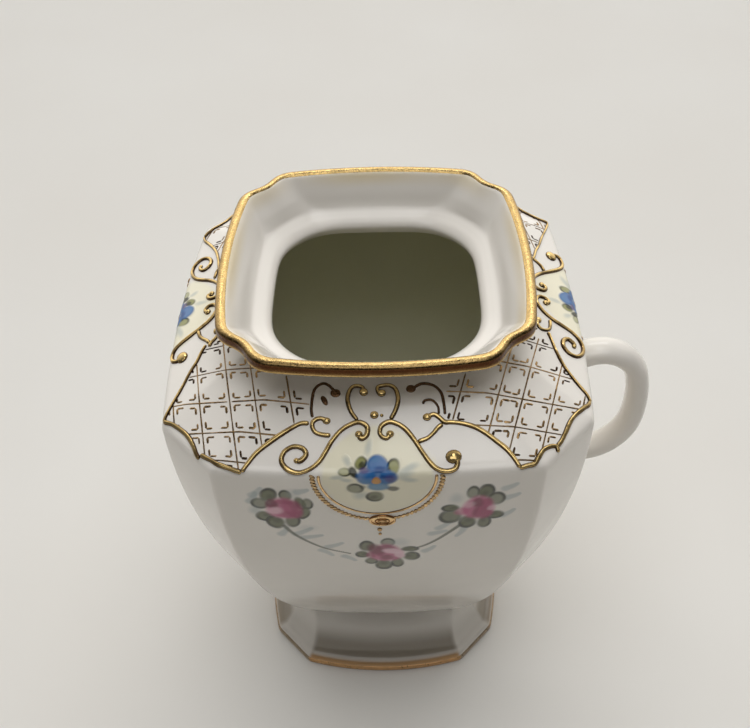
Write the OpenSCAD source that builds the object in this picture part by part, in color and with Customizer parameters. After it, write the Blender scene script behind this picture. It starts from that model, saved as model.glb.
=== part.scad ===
// Square porcelain cream jug on a flared foot, with a loop handle and raised gilding.
// The jug stands on z = 0. The front face looks along -Y and the handle is on +X.

/* [Body] */
// Width across two opposite faces at the shoulder crease
body_w = 75; // [74:0.5:76]
// Height of the shoulder crease above the table
crease_z = 94; // [93:0.5:95]
// Radius of the arc that each face follows from the waist to the crease
belly_r = 156; // [150:1:170]
// Height at which the belly arc is widest
belly_z = 86; // [85:0.5:88]
// Thickness of the porcelain wall
wall = 2.8; // [2.4:0.1:3.2]
// How far each face bows out in plan at the crease
face_bow = 1.4; // [1:0.1:1.8]

/* [Neck and mouth] */
// Height of the neck, where the shoulder meets the flared mouth
neck_z = 100.8; // [100:0.2:101.4]
// Width across the outside of the neck
neck_w = 43; // [42:0.5:44]
// Overall height of the jug
lip_z = 108.3; // [107.5:0.1:109]
// Width across the outside of the lip
lip_w = 55; // [54:0.5:56]
// Width across the throat, the narrowest part of the opening
throat_w = 37.6; // [36:0.2:38]
// Width of the gilded rim seen from above
lip_band = 2.4; // [2:0.1:2.8]

/* [Foot] */
// Width across the base of the foot
foot_w = 59; // [58:0.5:60]
// Height of the waist between foot and belly
waist_z = 13.5; // [13:0.5:14]
// Thickness of the flat base plate
base_t = 3; // [2.5:0.1:3.5]

/* [Handle] */
// Reach of the handle's outer side from the jug's axis
handle_reach = 56.3; // [55:0.1:58]
// Thickness of the handle seen from the front
handle_t = 4.6; // [4.2:0.1:5]
// Width of the handle seen from the side
handle_w = 6; // [5.4:0.1:6.6]

/* [Gilding] */
// Width of the piped gold lines
line_w = 0.8; // [0.6:0.05:1]
// Height of the piped gold lines above the glaze
line_h = 0.35; // [0.25:0.05:0.5]
// Thickness of the gold bands on lip and foot
gold_t = 0.25; // [0.2:0.05:0.3]

/* [Hidden] */

porcelain = [0.93, 0.92, 0.90];
gold = [0.80, 0.62, 0.28];

SIDE_STEPS = 6;                 // chords along each face of a ring
CORNER_STEPS = 4;               // chords along each cut corner of a ring
belly_max = body_w / 2 + pow(crease_z - belly_z, 2) / (2 * belly_r);
slope_len = norm([body_w / 2 - neck_w / 2, neck_z - crease_z]);
crease_a = 26.6;                // half length of a flat face at the crease
neck_a = 15;                    // the same at the neck
neck_bow = 0.7;
lip_a = 17.6;                   // half length of a flat side of the lip
lip_bow = 1.4;
lip_dip = 0.8;                  // depth of the hollow cut into each lip corner
foot_a = 19;
foot_bow = 2.5;
throat_a = 10.6;
throat_bulge = -1;              // a negative dip rounds the corner outwards
cap_bulge = -0.3;               // soft corners on the flat base and its inner floor
embed = 0.3;                    // how deep a gold line starts inside the wall before it is trimmed

// Plan of the jug at one height: a square with half width w, whose faces run flat
// to +-a, bow out by bow at their middles, and meet in cut corners hollowed by dip.
function quarter(w, a, bow, dip) = concat(
    [for (i = [0:SIDE_STEPS]) let(t = 2 * i / SIDE_STEPS - 1) [a * t, -(w - bow * t * t)]],
    [for (i = [1:CORNER_STEPS - 1])
        let(s = i / CORNER_STEPS, d = dip * sin(180 * s) / sqrt(2), p = [a, bow - w], q = [w - bow, -a])
        p + (q - p) * s + [-d, d]]);
function turn(p, k) = [p[0] * cos(90 * k) - p[1] * sin(90 * k), p[0] * sin(90 * k) + p[1] * cos(90 * k)];
function ring(z, w, a, bow, dip = 0) =
    [for (k = [0:3]) for (p = quarter(w, a, bow, dip)) let(t = turn(p, k)) [t[0], t[1], z]];

// Half width, flat half length and bow of the belly at height z
function belly_half(z) = belly_max - pow(z - belly_z, 2) / (2 * belly_r);
function belly_a(z) = belly_half(z) * (0.71 + 0.10 * pow((crease_z - z) / (crease_z - waist_z), 2));
function belly_bow(z) = face_bow * belly_half(z) / (body_w / 2);
function belly_ring(z) = ring(z, belly_half(z), belly_a(z), belly_bow(z));
function inner_ring(z) = ring(z, belly_half(z) - wall, belly_a(z) - 0.45 * wall, belly_bow(z));
function blend(p, q, s) = p + (q - p) * s;
function shoulder_ring(s) = ring(blend(crease_z, neck_z, s), blend(body_w / 2, neck_w / 2, s),
    blend(crease_a, neck_a, s), blend(face_bow, neck_bow, s));

belly_steps = 10;
belly_heights = [for (i = [0:belly_steps]) blend(waist_z, crease_z, i / belly_steps)];
inner_heights = [for (i = [0:belly_steps]) blend(crease_z - wall, waist_z, i / belly_steps)];

// Skins joined from ring to ring. A tube closes on itself; a solid gets flat end caps.
function skin(n, r0, r1) = [for (i = [0:n - 1]) let(j = (i + 1) % n)
    each [[r0 * n + i, r1 * n + i, r1 * n + j], [r0 * n + i, r1 * n + j, r0 * n + j]]];
module tube_loft(rings) {
    n = len(rings[0]);
    m = len(rings);
    polyhedron([for (r = rings) each r], [for (i = [0:m - 1]) each skin(n, i, (i + 1) % m)]);
}
module solid_loft(rings) {
    n = len(rings[0]);
    m = len(rings);
    polyhedron([for (r = rings) each r], concat(
        [[for (i = [0:n - 1]) i]], [for (i = [0:m - 2]) each skin(n, i, i + 1)],
        [[for (i = [0:n - 1]) m * n - 1 - i]]));
}

// Outer form of belly and shoulder, used to trim what lies on it
module bowl_mass() solid_loft([for (z = belly_heights) belly_ring(z), shoulder_ring(0.5), shoulder_ring(1)]);

module bowl() color(porcelain) tube_loft(concat(
    [for (z = belly_heights) belly_ring(z)],
    [shoulder_ring(0.5), shoulder_ring(1)],
    [ring(neck_z, throat_w / 2 + 1.3, throat_a + 1, 0.4, throat_bulge),
     ring(neck_z - 1, throat_w / 2, throat_a, 0.3, throat_bulge),
     ring(neck_z - 2.2, throat_w / 2 + 0.3, throat_a + 0.2, 0.3, throat_bulge),
     ring(neck_z - 5, 24, 15.5, 0.8, -0.5)],
    [for (z = inner_heights) inner_ring(z)]));

// Flared mouth with hollow-cut corners and a soft ledge inside above the throat
module mouth() color(porcelain) tube_loft([
    ring(neck_z, neck_w / 2, neck_a, neck_bow),
    ring(neck_z + 2, neck_w / 2 + 0.9, neck_a + 0.5, 0.9, 0.2),
    ring(lip_z - 3.6, lip_w / 2 - 2.2, lip_a - 1.2, 1.2, 0.6),
    ring(lip_z - 2, lip_w / 2 - gold_t, lip_a - gold_t / 2, lip_bow, lip_dip),
    ring(lip_z - gold_t, lip_w / 2 - gold_t, lip_a - gold_t / 2, lip_bow, lip_dip),
    ring(lip_z - gold_t, lip_w / 2 - lip_band, lip_a - 0.8, lip_bow, lip_dip / 2),
    ring(lip_z - 3.3, 23.6, 15, 1, 0),
    ring(lip_z - 5.6, 22.2, 13.2, 0.6, -0.8),
    ring(lip_z - 6.4, 21.4, 12.4, 0.5, throat_bulge),
    ring(neck_z, throat_w / 2 + 1.3, throat_a + 1, 0.4, throat_bulge)]);

module lip_gilding() color(gold) tube_loft([
    ring(lip_z - 2, lip_w / 2, lip_a, lip_bow, lip_dip),
    ring(lip_z, lip_w / 2, lip_a, lip_bow, lip_dip),
    ring(lip_z, lip_w / 2 - lip_band, lip_a - 0.8, lip_bow, lip_dip / 2),
    ring(lip_z - gold_t, lip_w / 2 - lip_band, lip_a - 0.8, lip_bow, lip_dip / 2),
    ring(lip_z - gold_t, lip_w / 2 - gold_t, lip_a - gold_t / 2, lip_bow, lip_dip),
    ring(lip_z - 2, lip_w / 2 - gold_t, lip_a - gold_t / 2, lip_bow, lip_dip)]);

// Foot: gilded base edge, steep plinth face, then a cove that runs in to the waist
foot_band_z = [0.3, 1.5];
waist_half = belly_half(waist_z);
module foot() color(porcelain) {
    edge = foot_w / 2 - gold_t;
    solid_loft([
        ring(0, edge - 0.4, foot_a - 0.4, foot_bow, cap_bulge),
        ring(foot_band_z[0], edge, foot_a - gold_t / 2, foot_bow),
        ring(foot_band_z[1], edge, foot_a - gold_t / 2, foot_bow),
        ring(2.8, 27.6, 18, 2.2),
        ring(8, 25.3, 16.8, 1.8),
        ring(10.5, 23.4, 16.6, 1.4),
        ring(12.3, 21.6, 16.6, 1),
        ring(waist_z, waist_half, belly_a(waist_z), belly_bow(waist_z)),
        ring(waist_z, waist_half - wall, belly_a(waist_z) - 0.45 * wall, belly_bow(waist_z)),
        ring(10, 19.5, 14.5, 1),
        ring(base_t + 1, 22.5, 15.5, 1.2),
        ring(base_t, 21.5, 14.8, 1.2, cap_bulge)]);
}

module foot_gilding() color(gold) tube_loft([
    ring(foot_band_z[0], foot_w / 2, foot_a, foot_bow),
    ring(foot_band_z[1], foot_w / 2, foot_a, foot_bow),
    ring(foot_band_z[1], foot_w / 2 - gold_t, foot_a - gold_t / 2, foot_bow),
    ring(foot_band_z[0], foot_w / 2 - gold_t, foot_a - gold_t / 2, foot_bow)]);

// Centre line of the handle in the XZ plane, from its upper root to its lower root
reach = handle_reach - handle_t / 2;
handle_path = [
    [35, 79], [38.5, 81.6], [42.5, 82.8], [46.5, 82.4], [50, 80.2], [52.4, 76], [53.6, 70.5],
    [reach, 65], [53.5, 60.5], [51.6, 56], [48.4, 52.8], [44, 51.2], [39, 50.6], [31, 50]
];
function unit(v) = v / norm(v);
function tangent(p, i) = unit(p[min(i + 1, len(p) - 1)] - p[max(i - 1, 0)]);
module handle() color(porcelain) difference() {
    solid_loft([for (i = [0:len(handle_path) - 1])
        let(t = tangent(handle_path, i), c = handle_path[i])
        [for (k = [0:11]) let(o = handle_t / 2 * cos(30 * k))
            [c[0] - t[1] * o, handle_w / 2 * sin(30 * k), c[1] + t[0] * o]]]);
    bowl_mass();
}

// Places on the jug's skin. u runs along a face from its middle and v up the shoulder
// from the crease, so v is negative on the belly. The corner place is centred on the
// cut corner between the front face and the one to its right.
function skin_at(v) = v >= 0
    ? let(s = v / slope_len) [blend(crease_z, neck_z, s), blend(body_w / 2, neck_w / 2, s),
        blend(crease_a, neck_a, s), blend(face_bow, neck_bow, s)]
    : [crease_z + v, belly_half(crease_z + v), belly_a(crease_z + v), belly_bow(crease_z + v)];
on_face = function(u, v) let(s = skin_at(v)) [u, -(s[1] - s[3] * pow(u / s[2], 2)), s[0]];
on_corner = function(u, v)
    let(s = skin_at(v), half = (s[1] - s[3] - s[2]) / sqrt(2), mid = (s[1] - s[3] + s[2]) / 2,
        f = s[2] - sqrt(2) * (abs(u) - half), deep = s[1] - s[3] * pow(f / s[2], 2))
    abs(u) <= half ? [mid + u / sqrt(2), u / sqrt(2) - mid, s[0]]
    : u < 0 ? [f, -deep, s[0]] : [deep, -f, s[0]];
function normal(place, p) = let(e = 0.2)
    unit(cross(place(p[0] + e, p[1]) - place(p[0] - e, p[1]), place(p[0], p[1] + e) - place(p[0], p[1] - e)));

// A piped line along a list of (u, v) points on the skin
module piped(place, path, w = line_w, h = line_h) {
    pts = [for (p = path) place(p[0], p[1])];
    solid_loft([for (i = [0:len(path) - 1])
        let(n = normal(place, path[i]), side = unit(cross(n, tangent(pts, i))), c = pts[i])
        [c - n * embed - side * w / 2, c - n * embed + side * w / 2,
         c + n * h + side * w / 4, c + n * h - side * w / 4]]);
}
module on_side(k) rotate(90 * k) difference() {
    children();
    bowl_mass();
}

// The two S-scrolls that frame the cartouche, with their curls and side sprigs
left_scroll = [
    [-3.5, 7], [-2.5, 6.2], [-1.6, 7], [-1.6, 8.2], [-2.8, 8.9], [-4.3, 8.5], [-5.8, 7.5], [-7.2, 5.8],
    [-8.2, 4], [-9.2, 2.4], [-10.6, 1.2], [-12.5, 0.5], [-14.2, 1], [-15.2, 2.3], [-14.8, 3.8],
    [-13.4, 4.7], [-11.9, 4.5], [-11.4, 3.4], [-12.2, 2.6]
];
right_scroll = [
    [2.5, 7], [1.5, 6.2], [0.6, 7], [0.7, 8.2], [1.9, 8.9], [3.2, 8.6], [4.5, 7.6], [5.7, 6.2],
    [7, 4], [8.2, 2.2], [9.4, 1], [10.8, 0.5], [12.2, 0.8], [12.8, 1.9], [12.2, 3]
];
left_hook = [[-8, 9.4], [-9.2, 9.6], [-10.2, 9], [-10.4, 8], [-9.9, 7.1], [-8.6, 6.7], [-7.2, 6.6]];
right_sprig = [[6.6, 5.4], [8, 5.9], [9.2, 6.9], [9.8, 7.9], [9.6, 9.2], [8.6, 9.9], [7.8, 9.4]];
module scroll_gilding(k) color(gold) on_side(k) {
    piped(on_face, left_scroll);
    piped(on_face, right_scroll);
    piped(on_face, left_hook);
    piped(on_face, right_sprig);
}

// Open heart of two S-curves over the cartouche, with a dot between them
heart_half = [
    [-1.4, 14.2], [-2.2, 13.8], [-2.4, 14.8], [-3.4, 15.2], [-4.4, 14.4], [-4.6, 13], [-4.4, 11.6],
    [-3.8, 10.2], [-3.1, 9.3]
];
dot_at = [-0.4, 10.4];
module heart_gilding(k) color(gold) on_side(k) {
    piped(on_face, heart_half);
    piped(on_face, [for (p = heart_half) [-0.6 - p[0], p[1]]]);
    piped(on_face, [dot_at - [0.5, 0], dot_at + [0.5, 0]], 1.2, 0.6);
}

// Thin arc that closes the cartouche below. The handle leaves less room on its side.
arc_half_w = 9.4;
arc_drop = 10.2;
handle_side_drop = 7;
ARC_STEPS = 12;
function arc(half, drop) = [for (i = [0:ARC_STEPS]) let(t = 180 * i / ARC_STEPS)
    [-half * cos(t), -drop * sin(t)]];
module cartouche_arc(k) color(gold) on_side(k)
    piped(on_face, arc(arc_half_w, k == 1 ? handle_side_drop : arc_drop), 0.5, 0.25);

// Twisted rope below the arc, with an oval medallion at its middle
rope_half_w = 10.4;
rope_drop = 12;
module rope_swag(k) color(gold) on_side(k)
    piped(on_face, arc(rope_half_w, rope_drop), 1, 0.45);
medallion_at = [0, -12.2];
medallion_size = [4.4, 3];
module medallion(k) color(gold) rotate(90 * k) difference() {
    c = on_face(medallion_at[0], medallion_at[1]);
    n = normal(on_face, medallion_at);
    steps = 16;
    oval = function(s) [for (i = [0:steps - 1]) let(t = 360 * i / steps)
        [medallion_size[0] / 2 * s * cos(t), 0, medallion_size[1] / 2 * s * sin(t)]];
    solid_loft([for (q = [[1, -embed], [1, 0.3], [0.6, 0.8]])
        [for (p = oval(q[0])) c + n * q[1] + p]]);
    bowl_mass();
    rope_cut();
}
// Room for the rope where it runs under the medallion
module rope_cut() piped(on_face, arc(rope_half_w, rope_drop), 1, 0.45);

// Arches and scallops that outline the lattice over each cut corner
arch = [[10.9, 8.6], [12.7, 8.4], [14.9, 7.4], [17.2, 5.8], [19.2, 4], [20.8, 2.1], [21.8, 0.3]];
scallops = [
    [-10, 0.3], [-8.4, 1.1], [-6.6, 1.6], [-4.8, 1.2], [-2.8, 0.2],
    [-1, 1.1], [1.4, 1.8], [4.2, 2], [7, 1.4], [10, 0.3]
];
module corner_gilding(k) color(gold) on_side(k) {
    piped(on_corner, [for (p = scallops) [k % 2 == 0 ? p[0] : -p[0], p[1]]], 1, 0.45);
    piped(on_face, arch);
    rotate(90) piped(on_face, [for (p = arch) [-p[0], p[1]]]);
}

bowl();
mouth();
foot();
handle();
lip_gilding();
foot_gilding();
scroll_gilding(0);  // scroll_gilding_front
scroll_gilding(1);  // scroll_gilding_right
scroll_gilding(2);  // scroll_gilding_back
scroll_gilding(3);  // scroll_gilding_left
heart_gilding(0);  // heart_gilding_front
heart_gilding(1);  // heart_gilding_right
heart_gilding(2);  // heart_gilding_back
heart_gilding(3);  // heart_gilding_left
cartouche_arc(0);  // cartouche_arc_front
cartouche_arc(1);  // cartouche_arc_right
cartouche_arc(2);  // cartouche_arc_back
cartouche_arc(3);  // cartouche_arc_left
rope_swag(0);  // rope_swag_front
rope_swag(2);  // rope_swag_back
rope_swag(3);  // rope_swag_left
medallion(0);  // medallion_front
medallion(2);  // medallion_back
medallion(3);  // medallion_left
corner_gilding(0);  // corner_gilding_front_right
corner_gilding(1);  // corner_gilding_back_right
corner_gilding(2);  // corner_gilding_back_left
corner_gilding(3);  // corner_gilding_front_left
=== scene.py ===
import itertools
import math

import bpy
import numpy as np
from mathutils import Matrix, Vector


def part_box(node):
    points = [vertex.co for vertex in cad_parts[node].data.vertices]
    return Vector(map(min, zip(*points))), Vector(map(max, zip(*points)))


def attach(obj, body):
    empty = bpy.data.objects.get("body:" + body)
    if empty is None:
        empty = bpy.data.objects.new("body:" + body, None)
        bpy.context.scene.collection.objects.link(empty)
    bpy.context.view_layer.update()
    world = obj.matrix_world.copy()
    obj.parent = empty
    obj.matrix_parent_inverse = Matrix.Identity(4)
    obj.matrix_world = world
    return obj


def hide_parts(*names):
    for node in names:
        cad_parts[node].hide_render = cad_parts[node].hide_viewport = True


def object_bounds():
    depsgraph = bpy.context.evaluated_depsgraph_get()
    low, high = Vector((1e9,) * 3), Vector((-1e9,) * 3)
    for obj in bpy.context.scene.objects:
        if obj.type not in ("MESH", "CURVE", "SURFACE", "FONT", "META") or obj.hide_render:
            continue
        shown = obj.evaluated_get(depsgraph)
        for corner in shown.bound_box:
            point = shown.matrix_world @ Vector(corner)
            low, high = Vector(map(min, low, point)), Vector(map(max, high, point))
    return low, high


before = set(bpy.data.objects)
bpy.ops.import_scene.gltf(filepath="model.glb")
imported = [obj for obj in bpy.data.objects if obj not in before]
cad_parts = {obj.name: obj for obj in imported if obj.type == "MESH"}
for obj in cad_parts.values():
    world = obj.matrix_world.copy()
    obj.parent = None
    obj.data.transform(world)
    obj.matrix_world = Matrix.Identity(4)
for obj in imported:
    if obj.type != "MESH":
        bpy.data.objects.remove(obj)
cad_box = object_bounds()

# Lengths in this script are millimetres until a mesh is built, and MM turns them into metres.
# The front face looks along -Y. A face is named by its quarter turn from the front.
MM = 0.001
FACES = {"front": 0, "right": 1, "back": 2, "left": 3}
CORNERS = {"front_right": 0, "back_right": 1, "back_left": 2, "front_left": 3}
HANDLE_FACE = 1
ASIDE = 2.0
rng = np.random.default_rng(5)


def extent(node):
    """Lowest and highest corner of a CAD node in millimetres."""
    lo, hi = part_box(node)
    return np.array(lo) / MM, np.array(hi) / MM


# ---------------------------------------------------------------- sizes
bowl_lo, bowl_hi = extent("bowl")
_, lip_hi = extent("lip_gilding")
_, band_hi = extent("foot_gilding")
_, handle_hi = extent("handle")
_, arc_hi = extent("cartouche_arc_front")

WAIST_Z = bowl_lo[2]
NECK_Z = bowl_hi[2]
LIP_Z = lip_hi[2]
LIP_HALF = lip_hi[0]
BAND_HALF = band_hi[0]
BELLY_MAX = bowl_hi[0]
CREASE_Z = arc_hi[2]
BELLY_Z = CREASE_Z - 8
BELLY_R = 156
CREASE_HALF = BELLY_MAX - (CREASE_Z - BELLY_Z) ** 2 / (2 * BELLY_R)
CREASE_A = 26.6
FACE_BOW = 1.4
NECK_HALF = 21.5
NECK_A = 15
NECK_BOW = 0.7
WALL = 2.8
SLOPE = math.hypot(CREASE_HALF - NECK_HALF, NECK_Z - CREASE_Z)
BELLY_DROP = CREASE_Z - WAIST_Z


def srgb(r, g, b):
    """Linear colour from 0-255 display values."""
    c = np.array([r, g, b]) / 255
    return np.where(c < 0.04045, c / 12.92, ((c + 0.055) / 1.055) ** 2.4)


PORCELAIN = srgb(239, 234, 226)
CREAM = srgb(243, 237, 212)
# Painted shade: the inside is a yellower white than the outside glaze, and darker again towards its top under
# the shoulder
INSIDE = srgb(236, 234, 214)
INSIDE_TOP_SHADE = srgb(196, 194, 164)
RIM_STAIN = srgb(232, 214, 172)
# Painted shade for the cove of the foot
FOOT_SHADE = srgb(156, 147, 133)
# Lighter and darker copies of each gold, laid on as painted highlight and painted shade of one gold
GOLD_LIT = np.array([1.0, 0.72, 0.30])
GOLD_SHADED = np.array([0.07, 0.028, 0.01])
LIP_GOLD_LIT = np.array([0.90, 0.63, 0.26])
LIP_GOLD_SHADED = np.array([0.10, 0.036, 0.012])
SATIN_LIT = np.array([1.0, 0.70, 0.36])
SATIN_SHADED = np.array([0.2, 0.09, 0.03])
FLAT_LIT = np.array([0.66, 0.43, 0.20])
FOOT_GOLD_LIT = np.array([0.86, 0.50, 0.22])
FOOT_BARE = srgb(186, 172, 150)
FOOT_STAIN = srgb(206, 156, 100)
FLAT_SHADED = np.array([0.065, 0.036, 0.018])


# ---------------------------------------------------------------- plan outlines
RING_N = 1440
EDGE_STEPS = 48
HALF_FLAT = 40
CUT = 36
COLUMNS = 4 * (2 * HALF_FLAT + CUT)


def unit(v):
    return v / np.maximum(np.linalg.norm(v, axis=-1, keepdims=True), 1e-12)


def smooth_step(lo, hi, x):
    t = np.clip((x - lo) / (hi - lo), 0, 1)
    return t * t * (3 - 2 * t)


def blend(a, b, share):
    return a * (1 - share) + b * share


def run_along(points):
    """Distance run at each point of a line."""
    return np.concatenate([[0], np.cumsum(np.linalg.norm(np.diff(points, axis=0), axis=1))])


def turned(xy, quarters):
    """Plan points turned about the jug's axis by quarter turns."""
    c, s = math.cos(math.pi / 2 * quarters), math.sin(math.pi / 2 * quarters)
    return xy @ np.array([[c, s], [-s, c]])


def bell(m):
    """Weights of a smooth average over m points either way."""
    weights = np.hanning(2 * m + 3)[1:-1]
    return weights / weights.sum()


def bearing(x, y):
    """Angle about the jug's axis from the front round by the right."""
    return (np.arctan2(y, x) + math.pi / 2) % (2 * math.pi)


def softened(loop, reach):
    """A closed loop of evenly spaced points with its ridges rounded over reach points."""
    m = int(round(reach))
    if m < 1:
        return loop
    return sum(w * np.roll(loop, k, axis=0) for k, w in zip(range(-m, m + 1), bell(m)))


def outline(w, a, bow, dip, soft):
    """Plan outline from the middle of the front round by the right: a square of half width w
    whose faces run to +-a and bow out by bow, with cut corners. A positive dip hollows the
    corner between two swellings and a negative dip rounds it outwards. Returns the points,
    the outline's length and the fraction of it at which the first ridge comes."""
    t = np.linspace(0, 1, EDGE_STEPS, endpoint=False)
    flat_out = np.column_stack([a * t, bow * t**2 - w])
    p, q = np.array([a, bow - w]), np.array([w - bow, -a])
    once, thrice = np.sin(math.pi * t), np.sin(3 * math.pi * t)
    wave = once if dip < 0 else -0.19 * once - 0.5 * thrice
    hollow = dip * wave / math.sqrt(2)
    cut = p + (q - p) * t[:, None] + np.column_stack([-hollow, hollow])
    flat_in = np.column_stack([w - bow * (1 - t) ** 2, -a * (1 - t)])
    quarter = np.vstack([flat_out, cut, flat_in])
    loop = np.vstack([turned(quarter, k) for k in range(4)])
    closed = np.vstack([loop, loop[:1]])
    run = run_along(closed)
    even = np.linspace(0, run[-1], RING_N, endpoint=False)
    xy = np.column_stack([np.interp(even, run, closed[:, i]) for i in (0, 1)])
    return softened(xy, soft * RING_N / run[-1]), run[-1], run[len(t)] / run[-1]


# At each mesh column: quarter turns from the front, distance in them from the middle of the
# nearest cut corner, and 1 on the left and right faces
QUARTERS = np.arange(COLUMNS) / COLUMNS * 4
FROM_CORNER = np.abs(QUARTERS % 1 - 0.5)
ON_SIDE = np.round(QUARTERS) % 2


def eased(t):
    return 0.4 * t + 0.6 * (1.5 * t - 0.5 * t**3)


def columns(ridge):
    """Fractions of an outline at the mesh columns, closest together at its ridges."""
    half = np.arange(HALF_FLAT) / HALF_FLAT
    across = eased(np.arange(CUT) / CUT * 2 - 1) / 2 + 0.5
    quarter = np.concatenate(
        [ridge * eased(half), ridge + (0.25 - 2 * ridge) * across, 0.25 - ridge * eased(1 - half)]
    )
    return np.concatenate([quarter + k / 4 for k in range(4)])


def pick(loop, fraction):
    """Points of a closed loop at the given fractions."""
    i = np.asarray(fraction) % 1 * len(loop)
    low = np.floor(i).astype(int)
    f = (i - low)[:, None]
    return blend(loop[low % len(loop)], loop[(low + 1) % len(loop)], f)


def belly_half(z):
    return BELLY_MAX - (z - BELLY_Z) ** 2 / (2 * BELLY_R)


def belly_section(z):
    """Half width, flat half length, bow and corner dip of the belly at height z."""
    w = belly_half(z)
    rise = (CREASE_Z - z) / BELLY_DROP
    return w, w * (0.71 + 0.10 * rise**2), FACE_BOW * w / CREASE_HALF, 0.0


def skin_section(v):
    """Height and section where v is the distance up the shoulder from the crease."""
    if v < 0:
        return CREASE_Z + v, *belly_section(CREASE_Z + v)
    s = v / SLOPE
    ends = np.array([[CREASE_Z, CREASE_HALF, CREASE_A, FACE_BOW], [NECK_Z, NECK_HALF, NECK_A, NECK_BOW]])
    return *(blend(*ends, s)), 0.0


# ---------------------------------------------------------------- the skin that ornament follows
LEVEL_STEP = 0.25
RIDGE_SOFT = 0.9
CREASE_SOFT = 1.7


class Skin:
    """The outside of belly and shoulder as a fine table of points and normals."""

    def __init__(self):
        count = int((BELLY_DROP + SLOPE) / LEVEL_STEP) + 1
        self.levels = np.linspace(-BELLY_DROP, SLOPE, count)
        self.step = self.levels[1] - self.levels[0]
        rows = []
        self.lengths = np.zeros(count)
        self.ridges = np.zeros(count)
        for i, v in enumerate(self.levels):
            z, w, a, bow, dip = skin_section(v)
            xy, self.lengths[i], self.ridges[i] = outline(w, a, bow, dip, RIDGE_SOFT)
            rows.append(np.column_stack([xy, np.full(RING_N, z)]))
        self.points = self.soft_crease(np.array(rows))
        du = np.roll(self.points, -1, axis=1) - np.roll(self.points, 1, axis=1)
        self.normals = unit(np.cross(du, np.gradient(self.points, axis=0)))

    def soft_crease(self, table):
        m = int(round(CREASE_SOFT / self.step))
        padded = np.pad(table, ((m, m), (0, 0), (0, 0)), mode="reflect", reflect_type="odd")
        return sum(w * padded[k:k + len(table)] for k, w in enumerate(bell(m)))

    def length(self, v):
        """Length of the outline at distance v up from the crease."""
        return np.interp(v, self.levels, self.lengths)

    def at(self, turn, u, v):
        """Points and normals at distance u along the skin from the middle of a face, or of a
        corner where turn is a half, and distance v up from the crease."""
        u, v = np.broadcast_arrays(np.asarray(u, float), np.asarray(v, float))
        i = (turn / 4 + u / self.length(v)) % 1 * RING_N
        j = np.clip((v - self.levels[0]) / self.step, 0, len(self.levels) - 1.001)
        i0, j0 = np.floor(i).astype(int), np.floor(j).astype(int)
        fi, fj = (i - i0)[..., None], (j - j0)[..., None]
        i1 = (i0 + 1) % RING_N
        i0 = i0 % RING_N

        def mixed(table):
            low = blend(table[j0, i0], table[j0, i1], fi)
            return blend(low, blend(table[j0 + 1, i0], table[j0 + 1, i1], fi), fj)

        return mixed(self.points), unit(mixed(self.normals))

    def from_plan(self, x, y):
        """(turn, v) of the shoulder points straight above plan points."""
        angle = bearing(x, y)
        far = np.hypot(x, y)
        picked = [j for j, v in enumerate(self.levels) if v >= -0.5]
        reach, part = [], []
        for j in picked:
            ring = self.points[j]
            ring_angle = bearing(ring[:, 0], ring[:, 1])
            order = np.argsort(ring_angle)
            ring_far = np.hypot(ring[order, 0], ring[order, 1])
            reach.append(np.interp(angle, ring_angle[order], ring_far, period=2 * math.pi))
            spread = np.unwrap(np.arange(RING_N)[order] / RING_N * 2 * math.pi)
            part.append(np.interp(angle, ring_angle[order], spread))
        reach, part = np.array(reach), np.array(part) / (2 * math.pi)
        v = np.array([np.interp(-f, -reach[:, k], self.levels[picked]) for k, f in enumerate(far)])
        turn = [4 * np.interp(v[k], self.levels[picked], part[:, k]) for k in range(len(far))]
        return np.array(turn), v


skin = Skin()


# ---------------------------------------------------------------- meshes
def tube_faces(rows, cols, wrap_rows):
    """Quads of a grid whose columns close round; wrap_rows joins the last row to the first."""
    i, j = np.meshgrid(np.arange(rows if wrap_rows else rows - 1), np.arange(cols), indexing="ij")
    k, n = (i + 1) % rows, (j + 1) % cols
    quads = np.stack([i * cols + j, i * cols + n, k * cols + n, k * cols + j], axis=-1)
    return quads.reshape(-1, 4).tolist()


def add_object(name, data):
    made = bpy.data.objects.new(name, data)
    bpy.context.scene.collection.objects.link(made)
    return made


class Build:
    """Gathers the vertices and faces of one piece."""

    def __init__(self):
        self.points, self.faces, self.colours, self.count = [], [], [], 0

    def add(self, points, faces, colour=None):
        points = np.asarray(points).reshape(-1, 3)
        self.faces += [[i + self.count for i in face] for face in faces]
        self.points.append(points)
        self.colours.append(np.broadcast_to(PORCELAIN if colour is None else colour, points.shape))
        self.count += len(points)

    def piece(self, name, material, slot, stands_for=(), sharp=60, flow=None):
        mesh = bpy.data.meshes.new(name)
        mesh.from_pydata((np.vstack(self.points) * MM).tolist(), [], self.faces)
        mesh.shade_smooth()
        mesh.set_sharp_from_angle(angle=math.radians(sharp))
        rgba = np.column_stack([np.vstack(self.colours), np.ones(self.count)])
        paint = mesh.color_attributes.new(name="paint", type="FLOAT_COLOR", domain="POINT")
        paint.data.foreach_set("color", rgba.astype(np.float32).ravel())
        if flow is not None:
            along = mesh.attributes.new(name="flow", type="FLOAT_VECTOR", domain="POINT")
            along.data.foreach_set("vector", flow.astype(np.float32).ravel())
        mesh.materials.append(material)
        piece = add_object(name, mesh)
        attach(piece, "root")
        if stands_for:
            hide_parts(*stands_for)


def catmull(rows, per_span):
    """A smooth run through rows of numbers."""
    rows = np.asarray(rows, float)
    padded = np.vstack([rows[:1], rows, rows[-1:]])
    t = (np.arange(per_span) / per_span)[:, None]
    out = []
    for p0, p1, p2, p3 in zip(padded, padded[1:], padded[2:], padded[3:]):
        bend = (2 * p0 - 5 * p1 + 4 * p2 - p3) * t**2 + (3 * p1 - p0 - 3 * p2 + p3) * t**3
        out.append(0.5 * (2 * p1 + (p2 - p0) * t + bend))
    return np.vstack([*out, rows[-1:]])


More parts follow.
